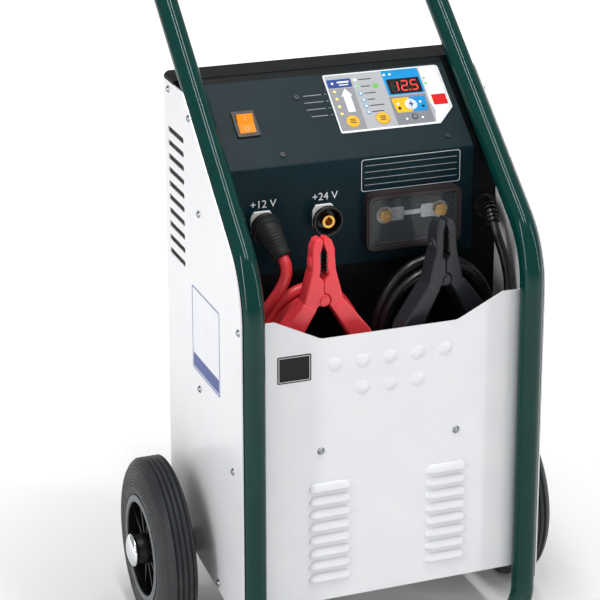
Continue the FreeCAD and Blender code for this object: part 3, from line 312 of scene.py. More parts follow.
@dataclass(frozen=True)
class Powder(Finish):
    """Glossy powder coat with a faint orange peel and some dust low down."""

    dust: str = "8c8a84"
    dust_height: float = 120.0

    def tint(self, sheet: NodeSheet, place: Socket) -> Socket:
        """Paint, with a thin film of dust towards the floor."""
        paint = super().tint(sheet, place)
        height = sheet.axes(place)[2] * (1 / (self.dust_height * MM))
        low = 1 - height.over(0.5, 0.5)
        film = low * sheet.noise(place, 14.0, 5.0).over(0.55, 0.2) * 0.16
        return sheet.mixed(film, paint, linear(self.dust))


@dataclass(frozen=True)
class Brushed(Finish):
    """Metal with fine lines along one axis."""

    uneven: float = 0.1
    metallic: float = 1.0
    mirror: float = 0.5
    along: tuple[float, float, float] = (0.05, 1.0, 1.0)

    def relief(self, sheet: NodeSheet, place: Socket) -> Socket:
        """Fine parallel scratches."""
        lines = sheet.noise(sheet.stretched(place, self.along), self.grain, 4.0)
        return sheet.bump(lines, self.depth, 0.5)


@dataclass(frozen=True)
class Banded(Finish):
    """Surface built of layers, as a stack of laminations or a winding."""

    pitch: float = 1.0
    axis: str = "Y"

    def relief(self, sheet: NodeSheet, place: Socket) -> Socket:
        """Fine even ridges."""
        settings = {"wave_type": "BANDS", "bands_direction": self.axis}
        inputs = {"Vector": place, "Scale": 0.314 / (self.pitch * MM)}
        waves = sheet.out("ShaderNodeTexWave", settings, inputs)
        return sheet.bump(waves, self.depth, 0.8)


@dataclass(frozen=True)
class FaceSheet(Finish):
    """Printed face sheet: one tone above the crease and another below it."""

    lower: str = "0c2229"

    def tint(self, sheet: NodeSheet, place: Socket) -> Socket:
        """Two inks that meet at the crease."""
        upper = super().tint(sheet, place)
        above = sheet.axes(place)[2].over(CREASE_Z * MM, 0.0006)
        haze = sheet.noise(place, 60.0, 2.0).over(0.5, 0.4)
        below = sheet.mixed(haze, linear(self.lower), linear("10282f"))
        return sheet.mixed(above, below, upper)


@dataclass(frozen=True)
class Lamp(Finish):
    """Lens or segment that gives off its own colour."""

    glow: float = 1.0

    def extras(self) -> dict:
        """Adds a glow of the surface's own colour."""
        inputs = super().extras()
        inputs["Emission Color"] = linear(self.colour)
        inputs["Emission Strength"] = self.glow
        return inputs


@dataclass(frozen=True)
class Clear(Finish):
    """Clear moulded cover with faint scuffs."""

    alpha: float = 0.2

    def extras(self) -> dict:
        """Adds the see-through share."""
        inputs = super().extras()
        inputs["Alpha"] = self.alpha
        inputs["IOR"] = 1.5
        return inputs


FINISHES: dict[str, Finish] = {finish.name: finish for finish in (
    Powder("frame_paint", "003732", "00302c", 0.1, 0.02, grain=1.6, depth=0.002, mottle=40.0, mirror=0.22),
    Powder("body_paint", "e6e7e9", "e1e2e5", 0.3, 0.012, coat=0.1, grain=1.4, depth=0.004, mottle=40.0,
           mirror=0.5),
    Brushed("zinc_sheet", "a4a6a8", "95979a", 0.38, metallic=0.85, grain=0.6, mottle=40.0),
    Finish("console_plastic", "0c1012", "090d0f", 0.42, 0.08, grain=0.55, depth=0.03, mottle=40.0,
           mirror=0.1),
    FaceSheet("face_print", "1e2d32", "1a282d", 0.34, grain=0.7, depth=0.012, mottle=40.0, mirror=0.07),
    Finish("keypad_film", "abadb1", "a5a7ab", 0.3, grain=0.6, mottle=40.0),
    Finish("display_face", "060708", "050506", 0.2, 0.04, grain=2.0, depth=0.003, mottle=40.0, mirror=0.3),
    Finish("key_yellow", "efb41e", "e8aa16", 0.3, 0.06, mottle=6.0, mirror=0.3),
    Finish("switch_black", "35302d", "2e2a27", 0.36, 0.06, mottle=40.0, mirror=0.3),
    Lamp("switch_orange", "ea860c", "e47b06", 0.36, 0.04, grain=3.0, mottle=40.0, mirror=0.15, glow=0.2),
    Finish("nut_white", "f4f4f1", "ecece8", 0.38, 0.08, grain=0.6, depth=0.02, mirror=0.5),
    Finish("socket_black", "101114", "0c0d10", 0.36, 0.08, grain=0.6, depth=0.02, mottle=12.0, mirror=0.35),
    Brushed("brass", "cfa45a", "b98c45", 0.28, grain=0.35, depth=0.008, mottle=5.0),
    Finish("fuse_frame", "2c2425", "251d1e", 0.34, 0.08, grain=0.7, depth=0.015, mottle=40.0, mirror=0.4),
    Clear("clear", "7d868c", "747d83", 0.04, 0.01, coat=1.0, grain=30.0, depth=0.002, mottle=40.0,
          mirror=0.5, alpha=0.1),
    Brushed("fuse_alloy", "a9abae", "94969a", 0.3, grain=0.4, mottle=6.0),
    Finish("rubber_black", "121417", "0e1013", 0.3, 0.08, grain=0.7, depth=0.02, mottle=25.0, mirror=0.5),
    Finish("rubber_red", "e23c43", "d8333a", 0.36, 0.08, grain=0.8, depth=0.015, mottle=30.0, mirror=0.5),
    Finish("clamp_red", "ea434a", "e03a42", 0.34, 0.08, grain=0.7, depth=0.02, mottle=18.0, mirror=0.5),
    Finish("clamp_black", "24272b", "1f2226", 0.42, 0.08, grain=0.7, depth=0.02, mottle=18.0, mirror=0.35),
    Brushed("steel", "b9babc", "a5a6a8", 0.28, grain=0.3, depth=0.008, mottle=5.0),
    Brushed("chrome", "dfe1e3", "d2d4d6", 0.07, 0.04, grain=3.0, depth=0.002, mottle=12.0),
    Powder("tyre", "2c2e31", "26282b", 0.5, 0.1, grain=0.9, depth=0.03, mottle=22.0, mirror=0.3,
           dust_height=160.0),
    Finish("hub_plastic", "0d0e0f", "0a0b0c", 0.4, 0.08, grain=0.6, depth=0.02, mottle=25.0, mirror=0.3),
    Banded("core_iron", "4a4038", "3d342e", 0.5, 0.1, metallic=0.4, grain=1.0, depth=0.2, mottle=40.0,
           mirror=0.5, pitch=0.9),
    Banded("winding", "8a4b22", "743c19", 0.35, 0.1, grain=1.0, depth=0.5, mottle=40.0, mirror=0.5,
           pitch=2.2, axis="Z"),
    Brushed("heat_sink", "a2a4a6", "929496", 0.4, metallic=0.9, mottle=40.0),
    # Hub lip: its pale grey colour is a painted highlight on the black hub plastic.
    Finish("rim_painted_highlight", "6a6e72", "606468", 0.42, 0.1, grain=0.6, depth=0.02, mottle=20.0, mirror=0.3),
    Finish("ink_white", "e9eaec", "dfe0e3", 0.35, mirror=0.5),
    Finish("ink_grey", "8d8f94", "86888d", 0.35),
    Finish("ink_blue", "0c8ecf", "0a86c5", 0.32, mirror=0.15),
    Finish("ink_deep_blue", "24468f", "203f84", 0.32, mottle=14.0, mirror=0.15),
    Finish("ink_red", "d8181c", "ce1418", 0.32, mirror=0.15),
    Finish("ink_black", "101214", "0c0e10", 0.35),
    Finish("label_pale", "e6e8ee", "dfe1e8", 0.3, 0.04, grain=0.6, mottle=30.0, mirror=0.5),
    Lamp("led_red", "ee2a16", "ea2412", 0.3, grain=1.0, mottle=4.0, mirror=0.5, glow=0.8),
    Lamp("led_green", "58c832", "50bd2c", 0.25, grain=1.0, mottle=4.0, mirror=0.5, glow=0.25),
    Lamp("led_yellow", "f4e07a", "f0d868", 0.25, grain=1.0, mottle=4.0, mirror=0.5, glow=0.25),
    Lamp("led_white", "eef0f2", "e8eaec", 0.25, grain=1.0, mottle=4.0, mirror=0.5, glow=0.2),
    Finish("key_silver", "d5d9de", "cbd0d6", 0.3, mottle=6.0, mirror=0.5),
    Brushed("screw_zinc", "8b8e92", "7c7f83", 0.34, grain=0.3, mottle=4.0),
    Finish("screw_dark", "1b1d1f", "151719", 0.36, 0.08, grain=0.3, mottle=4.0, mirror=0.4),
    Finish("ink_slate", "80838a", "797c83", 0.35),
    Finish("ink_amber", "f3b912", "ecb00c", 0.32),
    Finish("ink_pale_blue", "c4cfe2", "bbc7dc", 0.32, mirror=0.5),
    Finish("boot_rubber", "1f2223", "191c1d", 0.55, 0.08, grain=0.9, mottle=20.0, mirror=0.25),
    Finish("fuse_bed", "0d0f12", "090b0d", 0.5, 0.06, grain=2.0, depth=0.003, mottle=20.0),
    Finish("ink_green", "74bf5a", "6cb652", 0.32),
    Finish("ink_peach", "f3b070", "eea864", 0.32),
    Finish("led_dim", "2e0d0c", "270a09", 0.3, grain=1.0, mottle=4.0, mirror=0.3),
    Brushed("teeth", "6e6860", "5e5850", 0.35, 0.08, grain=0.3, mottle=4.0),
)}


OWN_FINISH: dict[str, str] = {
    "key_boost": "key_silver",
    "face_screws": "screw_dark",
    "fuse_base": "fuse_bed",
    "key_voltage": "ink_slate",
    "red_clamp_pin": "clamp_red",
    "black_clamp_pin": "clamp_black",
    "panel_screws": "screw_zinc",
}


class Paints:
    """Materials, each made when it is first asked for."""

    def __init__(self) -> None:
        """Starts with nothing made."""
        self.made: dict[str, bpy.types.Material] = {}

    def get(self, name: str) -> bpy.types.Material:
        """Material of a named finish."""
        if name not in self.made:
            self.made[name] = FINISHES[name].build()
        return self.made[name]


PAINTS = Paints()


# Mesh building

def rounded(corners: Outline, steps: int = 6) -> list[tuple[float, float]]:
    """Closed outline with rounded corners.

    Args:
        corners: points (a, b, radius) in order.
        steps: how many spans each rounding gets.

    Returns:
        The outline's points.
    """
    points = []
    count = len(corners)
    for i, (a, b, r) in enumerate(corners):
        here = Vector((a, b))
        if r <= 0:
            points.append((a, b))
            continue
        back = (Vector(corners[i - 1][:2]) - here).normalized()
        on = (Vector(corners[(i + 1) % count][:2]) - here).normalized()
        half = back.angle(on) / 2
        centre = here + (back + on).normalized() * (r / math.sin(half))
        first = here + back * (r / math.tan(half)) - centre
        last = here + on * (r / math.tan(half)) - centre
        turn = first.angle_signed(last)
        for k in range(steps + 1):
            spot = centre + Matrix.Rotation(-turn * k / steps, 2) @ first
            points.append((spot.x, spot.y))
    return points


def rectangle(a0: float, b0: float, a1: float, b1: float, r: float = 0.0) -> Outline:
    """Corners of a rectangle with one rounding."""
    return [(a0, b0, r), (a1, b0, r), (a1, b1, r), (a0, b1, r)]


def full_turn(sides: int) -> list[float]:
    """Angles of the corners of a round form."""
    return [2 * math.pi * i / sides for i in range(sides)]


def disc(a: float, b: float, r: float, sides: int = 28) -> Outline:
    """Corners of a round outline."""
    return [(a + r * math.cos(t), b + r * math.sin(t), 0.0) for t in full_turn(sides)]


def add_band(mesh: Mesh, first: Sequence, second: Sequence) -> None:
    """Adds the faces between two rings of corners, either of which can be a single point."""
    count = max(len(first), len(second))
    for i in range(count):
        j = (i + 1) % count
        near = (first[i % len(first)], first[j % len(first)])
        far = (second[j % len(second)], second[i % len(second)])
        mesh.faces.new(list(dict.fromkeys(near + far)))


def add_slab(mesh: Mesh, corners: Outline, low: float, high: float, place: Place) -> None:
    """Adds a flat plate over an outline.

    Args:
        mesh: what it is added to.
        corners: the outline, as for rounded.
        low: the plate's underside.
        high: its top.
        place: turns outline coordinates and a height into a point.
    """
    bottom, top = ([mesh.verts.new(place(a, b, level)) for a, b in rounded(corners)] for level in (low, high))
    add_band(mesh, bottom, top)
    mesh.faces.new(top)
    mesh.faces.new(list(reversed(bottom)))


def add_ring(mesh: Mesh, rims: Sequence[Outline], low: float, high: float, place: Place) -> None:
    """Adds a flat plate between an outer and an inner outline that have as many points each."""
    outer, inner = rims
    rings = [[mesh.verts.new(place(a, b, level)) for a, b in rounded(outline)]
             for outline, level in ((outer, low), (outer, high), (inner, high), (inner, low))]
    for first, second in zip(rings, rings[1:] + rings[:1]):
        add_band(mesh, first, second)


def add_lathe(mesh: Mesh, profile: Sequence[tuple[float, float]], origin: Vector, axis: Vector,
              sides: int) -> None:
    """Adds a turned form.

    Args:
        mesh: what it is added to.
        profile: points (distance along the axis, radius) in millimetres.
        origin: where the axis starts, in metres.
        axis: its direction.
        sides: how many facets go round.
    """
    along = axis.normalized()
    across = along.orthogonal().normalized()
    up = along.cross(across)
    rings = []
    for distance, radius in profile:
        centre = origin + along * (distance * MM)
        if radius <= 0:
            rings.append([mesh.verts.new(centre)])
            continue
        spokes = [across * math.cos(t) + up * math.sin(t) for t in full_turn(sides)]
        rings.append([mesh.verts.new(centre + spoke * (radius * MM)) for spoke in spokes])
    for first, second in zip(rings, rings[1:]):
        add_band(mesh, first, second)


def add_sweep(mesh: Mesh, spots: Sequence[Vector], radii: Sequence[float], sides: int) -> None:
    """Adds a closed form of round sections along a path.

    Args:
        mesh: what it is added to.
        spots: the middles of the sections, in metres.
        radii: their radii, in millimetres.
        sides: how many facets go round.
    """
    rings = []
    across = (spots[1] - spots[0]).orthogonal().normalized()
    for i, spot in enumerate(spots):
        way = (spots[min(i + 1, len(spots) - 1)] - spots[max(i - 1, 0)]).normalized()
        across = (across - way * across.dot(way)).normalized()
        up = way.cross(across)
        spokes = [across * math.cos(t) + up * math.sin(t) for t in full_turn(sides)]
        rings.append([mesh.verts.new(spot + spoke * (radii[i] * MM)) for spoke in spokes])
    for first, second in zip(rings, rings[1:]):
        add_band(mesh, first, second)
    mesh.faces.new(rings[-1])
    mesh.faces.new(list(reversed(rings[0])))


def put(name: str, data: bpy.types.ID) -> Piece:
    """Makes an object of a mesh, curve, light or camera and adds it to the scene."""
    thing = bpy.data.objects.new(name, data)
    bpy.context.scene.collection.objects.link(thing)
    return thing


def hand_in(name: str, mesh: Mesh, finish: str, body: Body = Body.TROLLEY, bevel: float = 0.0,
            sharp: float = 35.0) -> Piece:
    """Turns a mesh in the making into a finished piece.

    Args:
        name: the piece's name.
        mesh: its mesh, which is used up.
        finish: the name of its finish.
        body: what it rides on.
        bevel: width of the rounding of its edges, in millimetres.
        sharp: angle in degrees above which an edge stays sharp.

    Returns:
        The piece.
    """
    bmesh.ops.recalc_face_normals(mesh, faces=mesh.faces)
    data = bpy.data.meshes.new(name)
    mesh.to_mesh(data)
    mesh.free()
    data.shade_smooth()
    data.set_sharp_from_angle(angle=math.radians(sharp))
    piece = put(name, data)
    piece.data.materials.append(PAINTS.get(finish))
    if bevel > 0:
        soften = piece.modifiers.new("edges", "BEVEL")
        soften.width = bevel * MM
        soften.segments = 3
        soften.limit_method = "ANGLE"
        soften.harden_normals = True
    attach(piece, body.value)
    log.info("%s rides on %s", name, body.value)
    return piece


def turned(name: str, profile: Sequence[tuple[float, float]], origin: Vector, axis: Vector, sides: int,
           finish: str, body: Body = Body.TROLLEY, sharp: float = 35.0) -> Piece:
    """Makes a piece of one turned form, with arguments as for add_lathe and hand_in."""
    mesh = bmesh.new()
    add_lathe(mesh, profile, origin, axis, sides)
    bmesh.ops.remove_doubles(mesh, verts=mesh.verts, dist=WELD)
    return hand_in(name, mesh, finish, body, sharp=sharp)


def plates(name: str, finish: str, place: Place, levels: tuple[float, float],
           slabs: Sequence[Outline] = (), rings: Sequence[Sequence[Outline]] = (),
           body: Body = Body.TROLLEY, bevel: float = 0.0) -> Piece:
    """Makes a piece of flat plates, with arguments as for add_slab, add_ring and hand_in."""
    mesh = bmesh.new()
    for rims in rings:
        add_ring(mesh, rims, *levels, place)
    for outline in slabs:
        add_slab(mesh, outline, *levels, place)
    return hand_in(name, mesh, finish, body, bevel)


def dress_by_slot() -> None:
    """Gives each CAD piece its own finish, or else the one that its slot names."""
    for entry in frame["record"]["subparts"]:
        node = entry["node"]
        finish = OWN_FINISH.get(node, entry["material_slot"])
        piece = frame["nodes"][node]
        if not piece.material_slots:
            piece.data.materials.append(PAINTS.get(finish))
        for spot in piece.material_slots:
            spot.material = PAINTS.get(finish)
        log.info("%s is finished as %s", node, finish)


# Camera, light and floor

@dataclass
class Studio:
    """Camera at the photograph's view, soft lamps and a pale floor. Places are in metres."""

    spot: tuple[float, float, float] = (-0.81712, -2.07983, 1.22087)
    right: tuple[float, float, float] = (0.9360, -0.3519, 0.0)
    up: tuple[float, float, float] = (0.0997, 0.2653, 0.9590)
    lens: float = 128.72
    shift_x: float = -0.0132
    shift_y: float = -0.2797
    floor_half: float = 9.0
    lift: float = 0.7
    lift_radius: float = 0.75
    room: float = 0.46

    def camera(self) -> None:
        """Makes the camera."""
        data = bpy.data.cameras.new("camera")
        data.sensor_width = 36.0
        data.lens = self.lens
        data.shift_x = self.shift_x
        data.shift_y = self.shift_y
        camera = put("camera", data)
        right = Vector(self.right).normalized()
        back = right.cross(Vector(self.up)).normalized()
        up = back.cross(right)
        turn = Matrix((right, up, back)).transposed().to_4x4()
        camera.matrix_world = Matrix.Translation(self.spot) @ turn
        bpy.context.scene.camera = camera

    def lamp(self, name: str, spot: Sequence[float], aim: Sequence[float], size: tuple[float, float],
             watts: float) -> None:
        """Makes one softbox that faces a point."""
        data = bpy.data.lights.new(name, "AREA")
        data.shape = "RECTANGLE"
        data.size, data.size_y = size
        data.energy = watts
        lamp = put(name, data)
        way = Vector(aim) - Vector(spot)
        lamp.matrix_world = Matrix.Translation(spot) @ way.to_track_quat("-Z", "Y").to_matrix().to_4x4()

    def floor_material(self) -> bpy.types.Material:
        """Pale floor that the camera and mirrors see as white, with the object's shadow."""
        sheet = NodeSheet("floor_pale")
        rays = sheet.node("ShaderNodeLightPath", {}, {})
        seen = Socket(sheet, rays.outputs["Is Camera Ray"]) + Socket(sheet, rays.outputs["Is Glossy Ray"])
        seen = seen + Socket(sheet, rays.outputs["Is Transmission Ray"])
        cloudy = sheet.noise(sheet.place(), 900.0, 2.0)
        tone = sheet.mixed(cloudy, (0.90, 0.90, 0.905, 1), (0.93, 0.93, 0.93, 1))
        matt = sheet.out("ShaderNodeBsdfDiffuse", {}, {"Color": tone})
        away = sheet.out("ShaderNodeVectorMath", {"operation": "LENGTH"}, {0: sheet.place()}, "Value")
        far = away.over(self.lift_radius, self.lift_radius * 0.7) * self.lift
        lift = sheet.out("ShaderNodeEmission", {}, {"Color": (1, 1, 1, 1), "Strength": seen * far})
        both = sheet.out("ShaderNodeAddShader", {}, {0: matt, 1: lift})
        sheet.node("ShaderNodeOutputMaterial", {}, {0: both})
        return sheet.material

    def floor(self) -> None:
        """Makes the floor."""
        mesh = bmesh.new()
        half = self.floor_half
        corners = ((-half, -half), (half, -half), (half, half), (-half, half))
        mesh.faces.new([mesh.verts.new((x, y, 0)) for x, y in corners])
        data = bpy.data.meshes.new("floor")
        mesh.to_mesh(data)
        mesh.free()
        data.materials.append(self.floor_material())
        floor = put("floor", data)

    def light(self) -> None:
        """Makes the lamps and the even light of the room."""
        world = bpy.data.worlds.new("room")
        world.use_nodes = True
        sky = world.node_tree.nodes["Background"].inputs
        sky["Color"].default_value = (1.0, 1.0, 1.0, 1.0)
        sky["Strength"].default_value = self.room
        bpy.context.scene.world = world
        self.lamp("left_strip", (-2.3, -0.9, 1.3), (0, 0, 0.45), (0.16, 2.2), 25)
        self.lamp("right_strip", (2.0, -1.3, 1.3), (0, 0, 0.45), (0.14, 2.0), 15)
        for word, x in (("left", 0.1 - 0.42), ("right", 0.1 + 0.42)):
            self.lamp(f"top_strip_{word}", (x, -0.5, 2.7), (x, 0, 0.3), (0.14, 1.7), 20)
        bpy.context.scene.view_settings.view_transform = "Standard"


# Leads

@dataclass
class Coil:
    """Loose turns of a lead, hung upright behind its clamp."""

    x: float
    z: float
    wide: float
    tall: float
    back: float
    front: float
    first: float
    last: float
    fan: float
    steps: int = 14

    def points(self) -> list[Spot]:
        """Control points of the turns, from the back to the front.

        Returns:
            Points of the drawing. Later turns hang lower at the top, so they fan out.
        """
        swell = 1 / math.cos(math.pi / self.steps)
        count = round((self.last - self.first) / 360 * self.steps)
        spots = []
        for i in range(count + 1):
            share = i / count
            angle = math.radians(self.first + (self.last - self.first) * share)
            drop = self.fan * share * max(0.0, math.sin(angle - 0.5))
            loose = 1 - 0.03 * math.sin(2.3 * angle) ** 2
            reach_x = self.wide * swell * loose - 0.5 * drop
            reach_z = self.tall * swell * loose - drop
            spots.append((self.x + reach_x * math.cos(angle), self.back + (self.front - self.back) * share,
                          self.z + reach_z * math.sin(angle)))
        return spots


@dataclass
class Hank:
    """Flat oval turns of the mains lead, lying on the pocket's tray."""

    left: float = -85.0
    right: float = 147.0
    near: float = 21.4
    far: float = 66.9
    top: float = 293.3
    pitch: float = 10.0
    turns: int = 2

    def points(self) -> list[Spot]:
        """Control points of the turns, starting on the near run and going left."""
        r = (self.far - self.near) / 2
        middle = (self.far + self.near) / 2
        span = self.right - self.left - 2 * r
        loop = [(self.left + r + span * share, self.near) for share in (0.9, 0.55, 0.2)]
        loop += self._end(self.left + r, middle, r, 270.0)
        loop += [(self.left + r + span * share, self.far) for share in (0.2, 0.5, 0.8)]
        loop += self._end(self.right - r, middle, r, 90.0)
        spots = []
        for turn in range(self.turns):
            for i, (x, y) in enumerate(loop):
                spots.append((x, y, self.top - self.pitch * (turn + i / len(loop))))
        return spots

    @staticmethod
    def _end(x: float, y: float, r: float, first: float) -> list[tuple[float, float]]:
        """Points round one end of the hank."""
        reach = r / math.cos(math.radians(15))
        angles = [math.radians(first - 15 - 30 * k) for k in range(6)]
        return [(x + reach * math.cos(t), y + reach * math.sin(t)) for t in angles]


@dataclass
class Lead:
    """Flexible lead drawn as one smooth curve."""

    name: str
    points: list[Spot]
    diameter: float
    length: float
    rubber: str
    nodes: tuple[str, ...]
    pieces: tuple[str, ...]
    far_end: str
    stiffness: str = "medium"

    def build(self) -> Piece:
        data = bpy.data.curves.new(self.name, "CURVE")
        data.dimensions = "3D"
        data.bevel_depth = self.diameter / 2 * MM
        data.bevel_resolution = 6
        data.resolution_u = 8
        data.use_fill_caps = True
        spline = data.splines.new("NURBS")
        spline.points.add(len(self.points) - 1)
        for point, spot in zip(spline.points, self.points):
            point.co = (*at(*spot), 1.0)
        spline.order_u = 3
        spline.use_endpoint_u = True
        piece = put(self.name, data)
        data.materials.append(PAINTS.get(self.rubber))
        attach(piece, Body.TROLLEY.value)
        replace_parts(piece, *self.nodes)
        at(*self.points[0])
        self.diameter * MM
        [frame["nodes"].get(name) or bpy.data.objects[name] for name in self.pieces]
        log.info("%s is %.2f m long", self.name, self.length)
        return piece


@dataclass
class Leads:
    """The three leads: mains, red and black."""

    mains_d: float = 10.0
    red_d: float = 12.5
    black_d: float = 12.5

    def mains(self) -> Lead:
        """Mains lead: out of its strain relief, down into the pocket and round the hank to its plug."""
        start = Vector((153.0, 90.0, 462.0))
        way = Vector((-1.3, -13.0, -11.0)).normalized()
        down = [tuple(start), tuple(start + way * 15), (157.0, 73.0, 434.0), (160.5, 67.0, 412.0),
                (159.5, 60.0, 388.0), (156.0, 46.0, 360.0), (150.0, 33.0, 335.0), (146.0, 24.5, 312.0),
                (136.0, 21.4, 296.0)]
        end = [(100.0, 21.4, 273.5), (50.0, 21.4, 273.3), (0.0, 21.8, 273.3), (-38.0, 24.0, 273.6),
               (-62.0, 30.0, 276.0), (-86.0, 32.9, 277.9)]
        return Lead("mains_cord", down + Hank().points() + end, self.mains_d, 1.44, "rubber_black",
                    ("mains_lead", "mains_hank"), ("mains_plug",), "plug")

    def red(self) -> Lead:
        """Red lead: out of its boot, round its coil and into the red clamp."""
        start = Vector(BOOT_END)
        way = (start - Vector(BOOT_START)).normalized()
        down = [tuple(start), tuple(start + way * 12), (-100.0, 66.5, 430.0), (-112.0, 73.0, 409.0),
                (-119.0, 86.0, 389.0), (-117.0, 101.0, 369.0)]
        coil = Coil(-60.0, 345.6, 54.75, 71.1, 110.7, 79.5, 184.0, 1020.0, 17.0)
        end = [(-20.0, 76.0, 291.0), (-12.0, 66.0, 297.0), (-10.0, 53.0, 302.0), (-10.0, 46.0, 313.0),
               (-10.0, 46.0, 327.5)]
        return Lead("red_cord", down + coil.points() + end, self.red_d, 1.08, "rubber_red",
                    ("red_lead", "red_coil"), ("red_boot", "red_clamp_right_soft"), "tool")

    def black(self) -> Lead:
        """Black lead: out of its gland, round its coil and into the black clamp."""
        start = Vector((84.0, 104.0, 337.0))
        way = Vector((0.0, -7.0, -3.0)).normalized()
        down = [tuple(start), tuple(start + way * 20), (64.0, 90.0, 325.0), (42.0, 101.0, 318.0)]
        coil = Coil(84.0, 353.1, 68.75, 78.6, 107.0, 79.5, 222.0, 1020.0, 18.0)
        end = [(131.0, 75.0, 298.0), (132.0, 65.0, 303.0), (128.0, 58.0, 310.0), (125.8, 57.4, 320.0),
               (125.8, 57.4, 332.5)]
        return Lead("black_cord", down + coil.points() + end, self.black_d, 1.12, "rubber_black",
                    ("black_lead", "black_coil"), ("black_clamp_right_soft",), "tool")

    def build(self) -> None:
        """Makes all three."""
        for lead in (self.mains(), self.red(), self.black()):
            lead.build()


# Wheels

@dataclass
class Wheel:
    """Solid tyre with tread rings and shoulder ribs, and a lip on its hub whose pale grey is a painted
    highlight.
    """

    side: int
    body: Body
    outer_x: float = 232.4
    radius: float = 100.0
    grooves: int = 4
    first_groove: float = 14.0
    groove_pitch: float = 6.0
    groove_depth: float = 2.0
    fine_rings: int = 7
    first_ring: float = 70.0
    ring_pitch: float = 3.7
    ring_height: float = 0.75

    WALL = ((60.0, 0.6), (66.0, 0.1), (71.0, 0.1), (77.0, 0.6), (82.0, 1.3), (87.0, 2.4), (91.0, 3.7),
            (94.5, 5.6), (97.3, 7.9))
    LIP = ((1.0, 52.2), (-0.2, 52.8), (-0.6, 54.5), (-0.2, 58.6), (0.6, 59.6), (1.6, 59.4), (1.6, 52.2),
           (1.0, 52.2))

    @property
    def word(self) -> str:
        """Which wheel it is, left or right."""
        return self.body.value.split("_")[1]

    def origin(self) -> Vector:
        """Middle of the wheel's outer face."""
        return at(self.side * self.outer_x, WHEEL_Y, self.radius)

    def tread(self) -> list[tuple[float, float]]:
        """Profile across the tread with its soft ring grooves, from the outer shoulder inwards."""
        points = [(10.6, 99.2)]
        for i in range(self.grooves):
            middle = self.first_groove + i * self.groove_pitch
            for k in (-2.2, -1.5, -1.0, -0.5, 0.0, 0.5, 1.0, 1.5, 2.2):
                points.append((middle + k, self.radius - self.groove_depth * math.exp(-k ** 2)))
        return points + [(35.2, 98.6), (37.2, 94.5), (38.4, 90.0)]

    def side_at(self, r: float) -> float:
        """How far in the sidewall lies at a radius."""
        for (r0, a0), (r1, a1) in zip(self.WALL, self.WALL[1:]):
            if r <= r1:
                return a0 + (a1 - a0) * (r - r0) / (r1 - r0)
        return self.WALL[-1][1]

    def sidewall(self) -> list[tuple[float, float]]:
        """Profile of the outer sidewall with its fine rings, from the bead outwards."""
        points = [(1.6, 60.2), (0.5, 62.0), (0.1, 66.0)]
        for i in range(self.fine_rings):
            r = self.first_ring + i * self.ring_pitch
            for spot, deep in ((r - 0.9, 0.0), (r, self.ring_height), (r + 0.9, 0.0)):
                points.append((self.side_at(spot) + deep, spot))
        return points + [(7.9, 97.3)]

    def tyre(self) -> Piece:
        """Makes the tyre."""
        far = [(38.8, 80.0), (39.6, 72.0), (39.4, 64.0), (38.4, 60.2), (20.0, 60.2)]
        profile = self.sidewall() + self.tread() + far + [(1.6, 60.2)]
        piece = turned(f"tyre_{self.word}_ribbed", profile, self.origin(), Vector((-self.side, 0, 0)), 144,
                       "tyre", self.body, sharp=28)
        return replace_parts(piece, f"tyre_{self.word}")

    def lip(self) -> Piece:
        """Makes the lip round the hub, coloured pale grey as a painted highlight on the dark hub plastic."""
        return turned(f"rim_lip_{self.word}", self.LIP, self.origin(), Vector((-self.side, 0, 0)), 120,
                      "rim_painted_highlight", self.body)

    def cap(self) -> Piece:
        """Makes the bright domed cap on the axle's end."""
        node = f"cap_{self.word}"
        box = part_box(node)
        low, high = min(c.x for c in box) / MM, max(c.x for c in box) / MM
        r = (max(c.z for c in box) - min(c.z for c in box)) / 2 / MM
        deep = high - low
        rim = deep * 0.3
        profile = [(0.0, 0.0), (0.0, r - 1.2), (0.6, r - 0.2), (rim, r)]
        for k in range(1, 17):
            t = math.radians(90 * k / 16)
            profile.append((rim + (deep - rim) * math.sin(t), r * math.cos(t) if k < 16 else 0.0))
        inner = at(low if self.side > 0 else high, WHEEL_Y, self.radius)
        piece = turned(f"{node}_domed", profile, inner, Vector((self.side, 0, 0)), 64, "chrome",
                       sharp=50)
        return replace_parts(piece, node)

    def build(self) -> None:
        """Makes the wheel's pieces."""
        self.tyre()
        self.lip()
        self.cap()


# Clamps

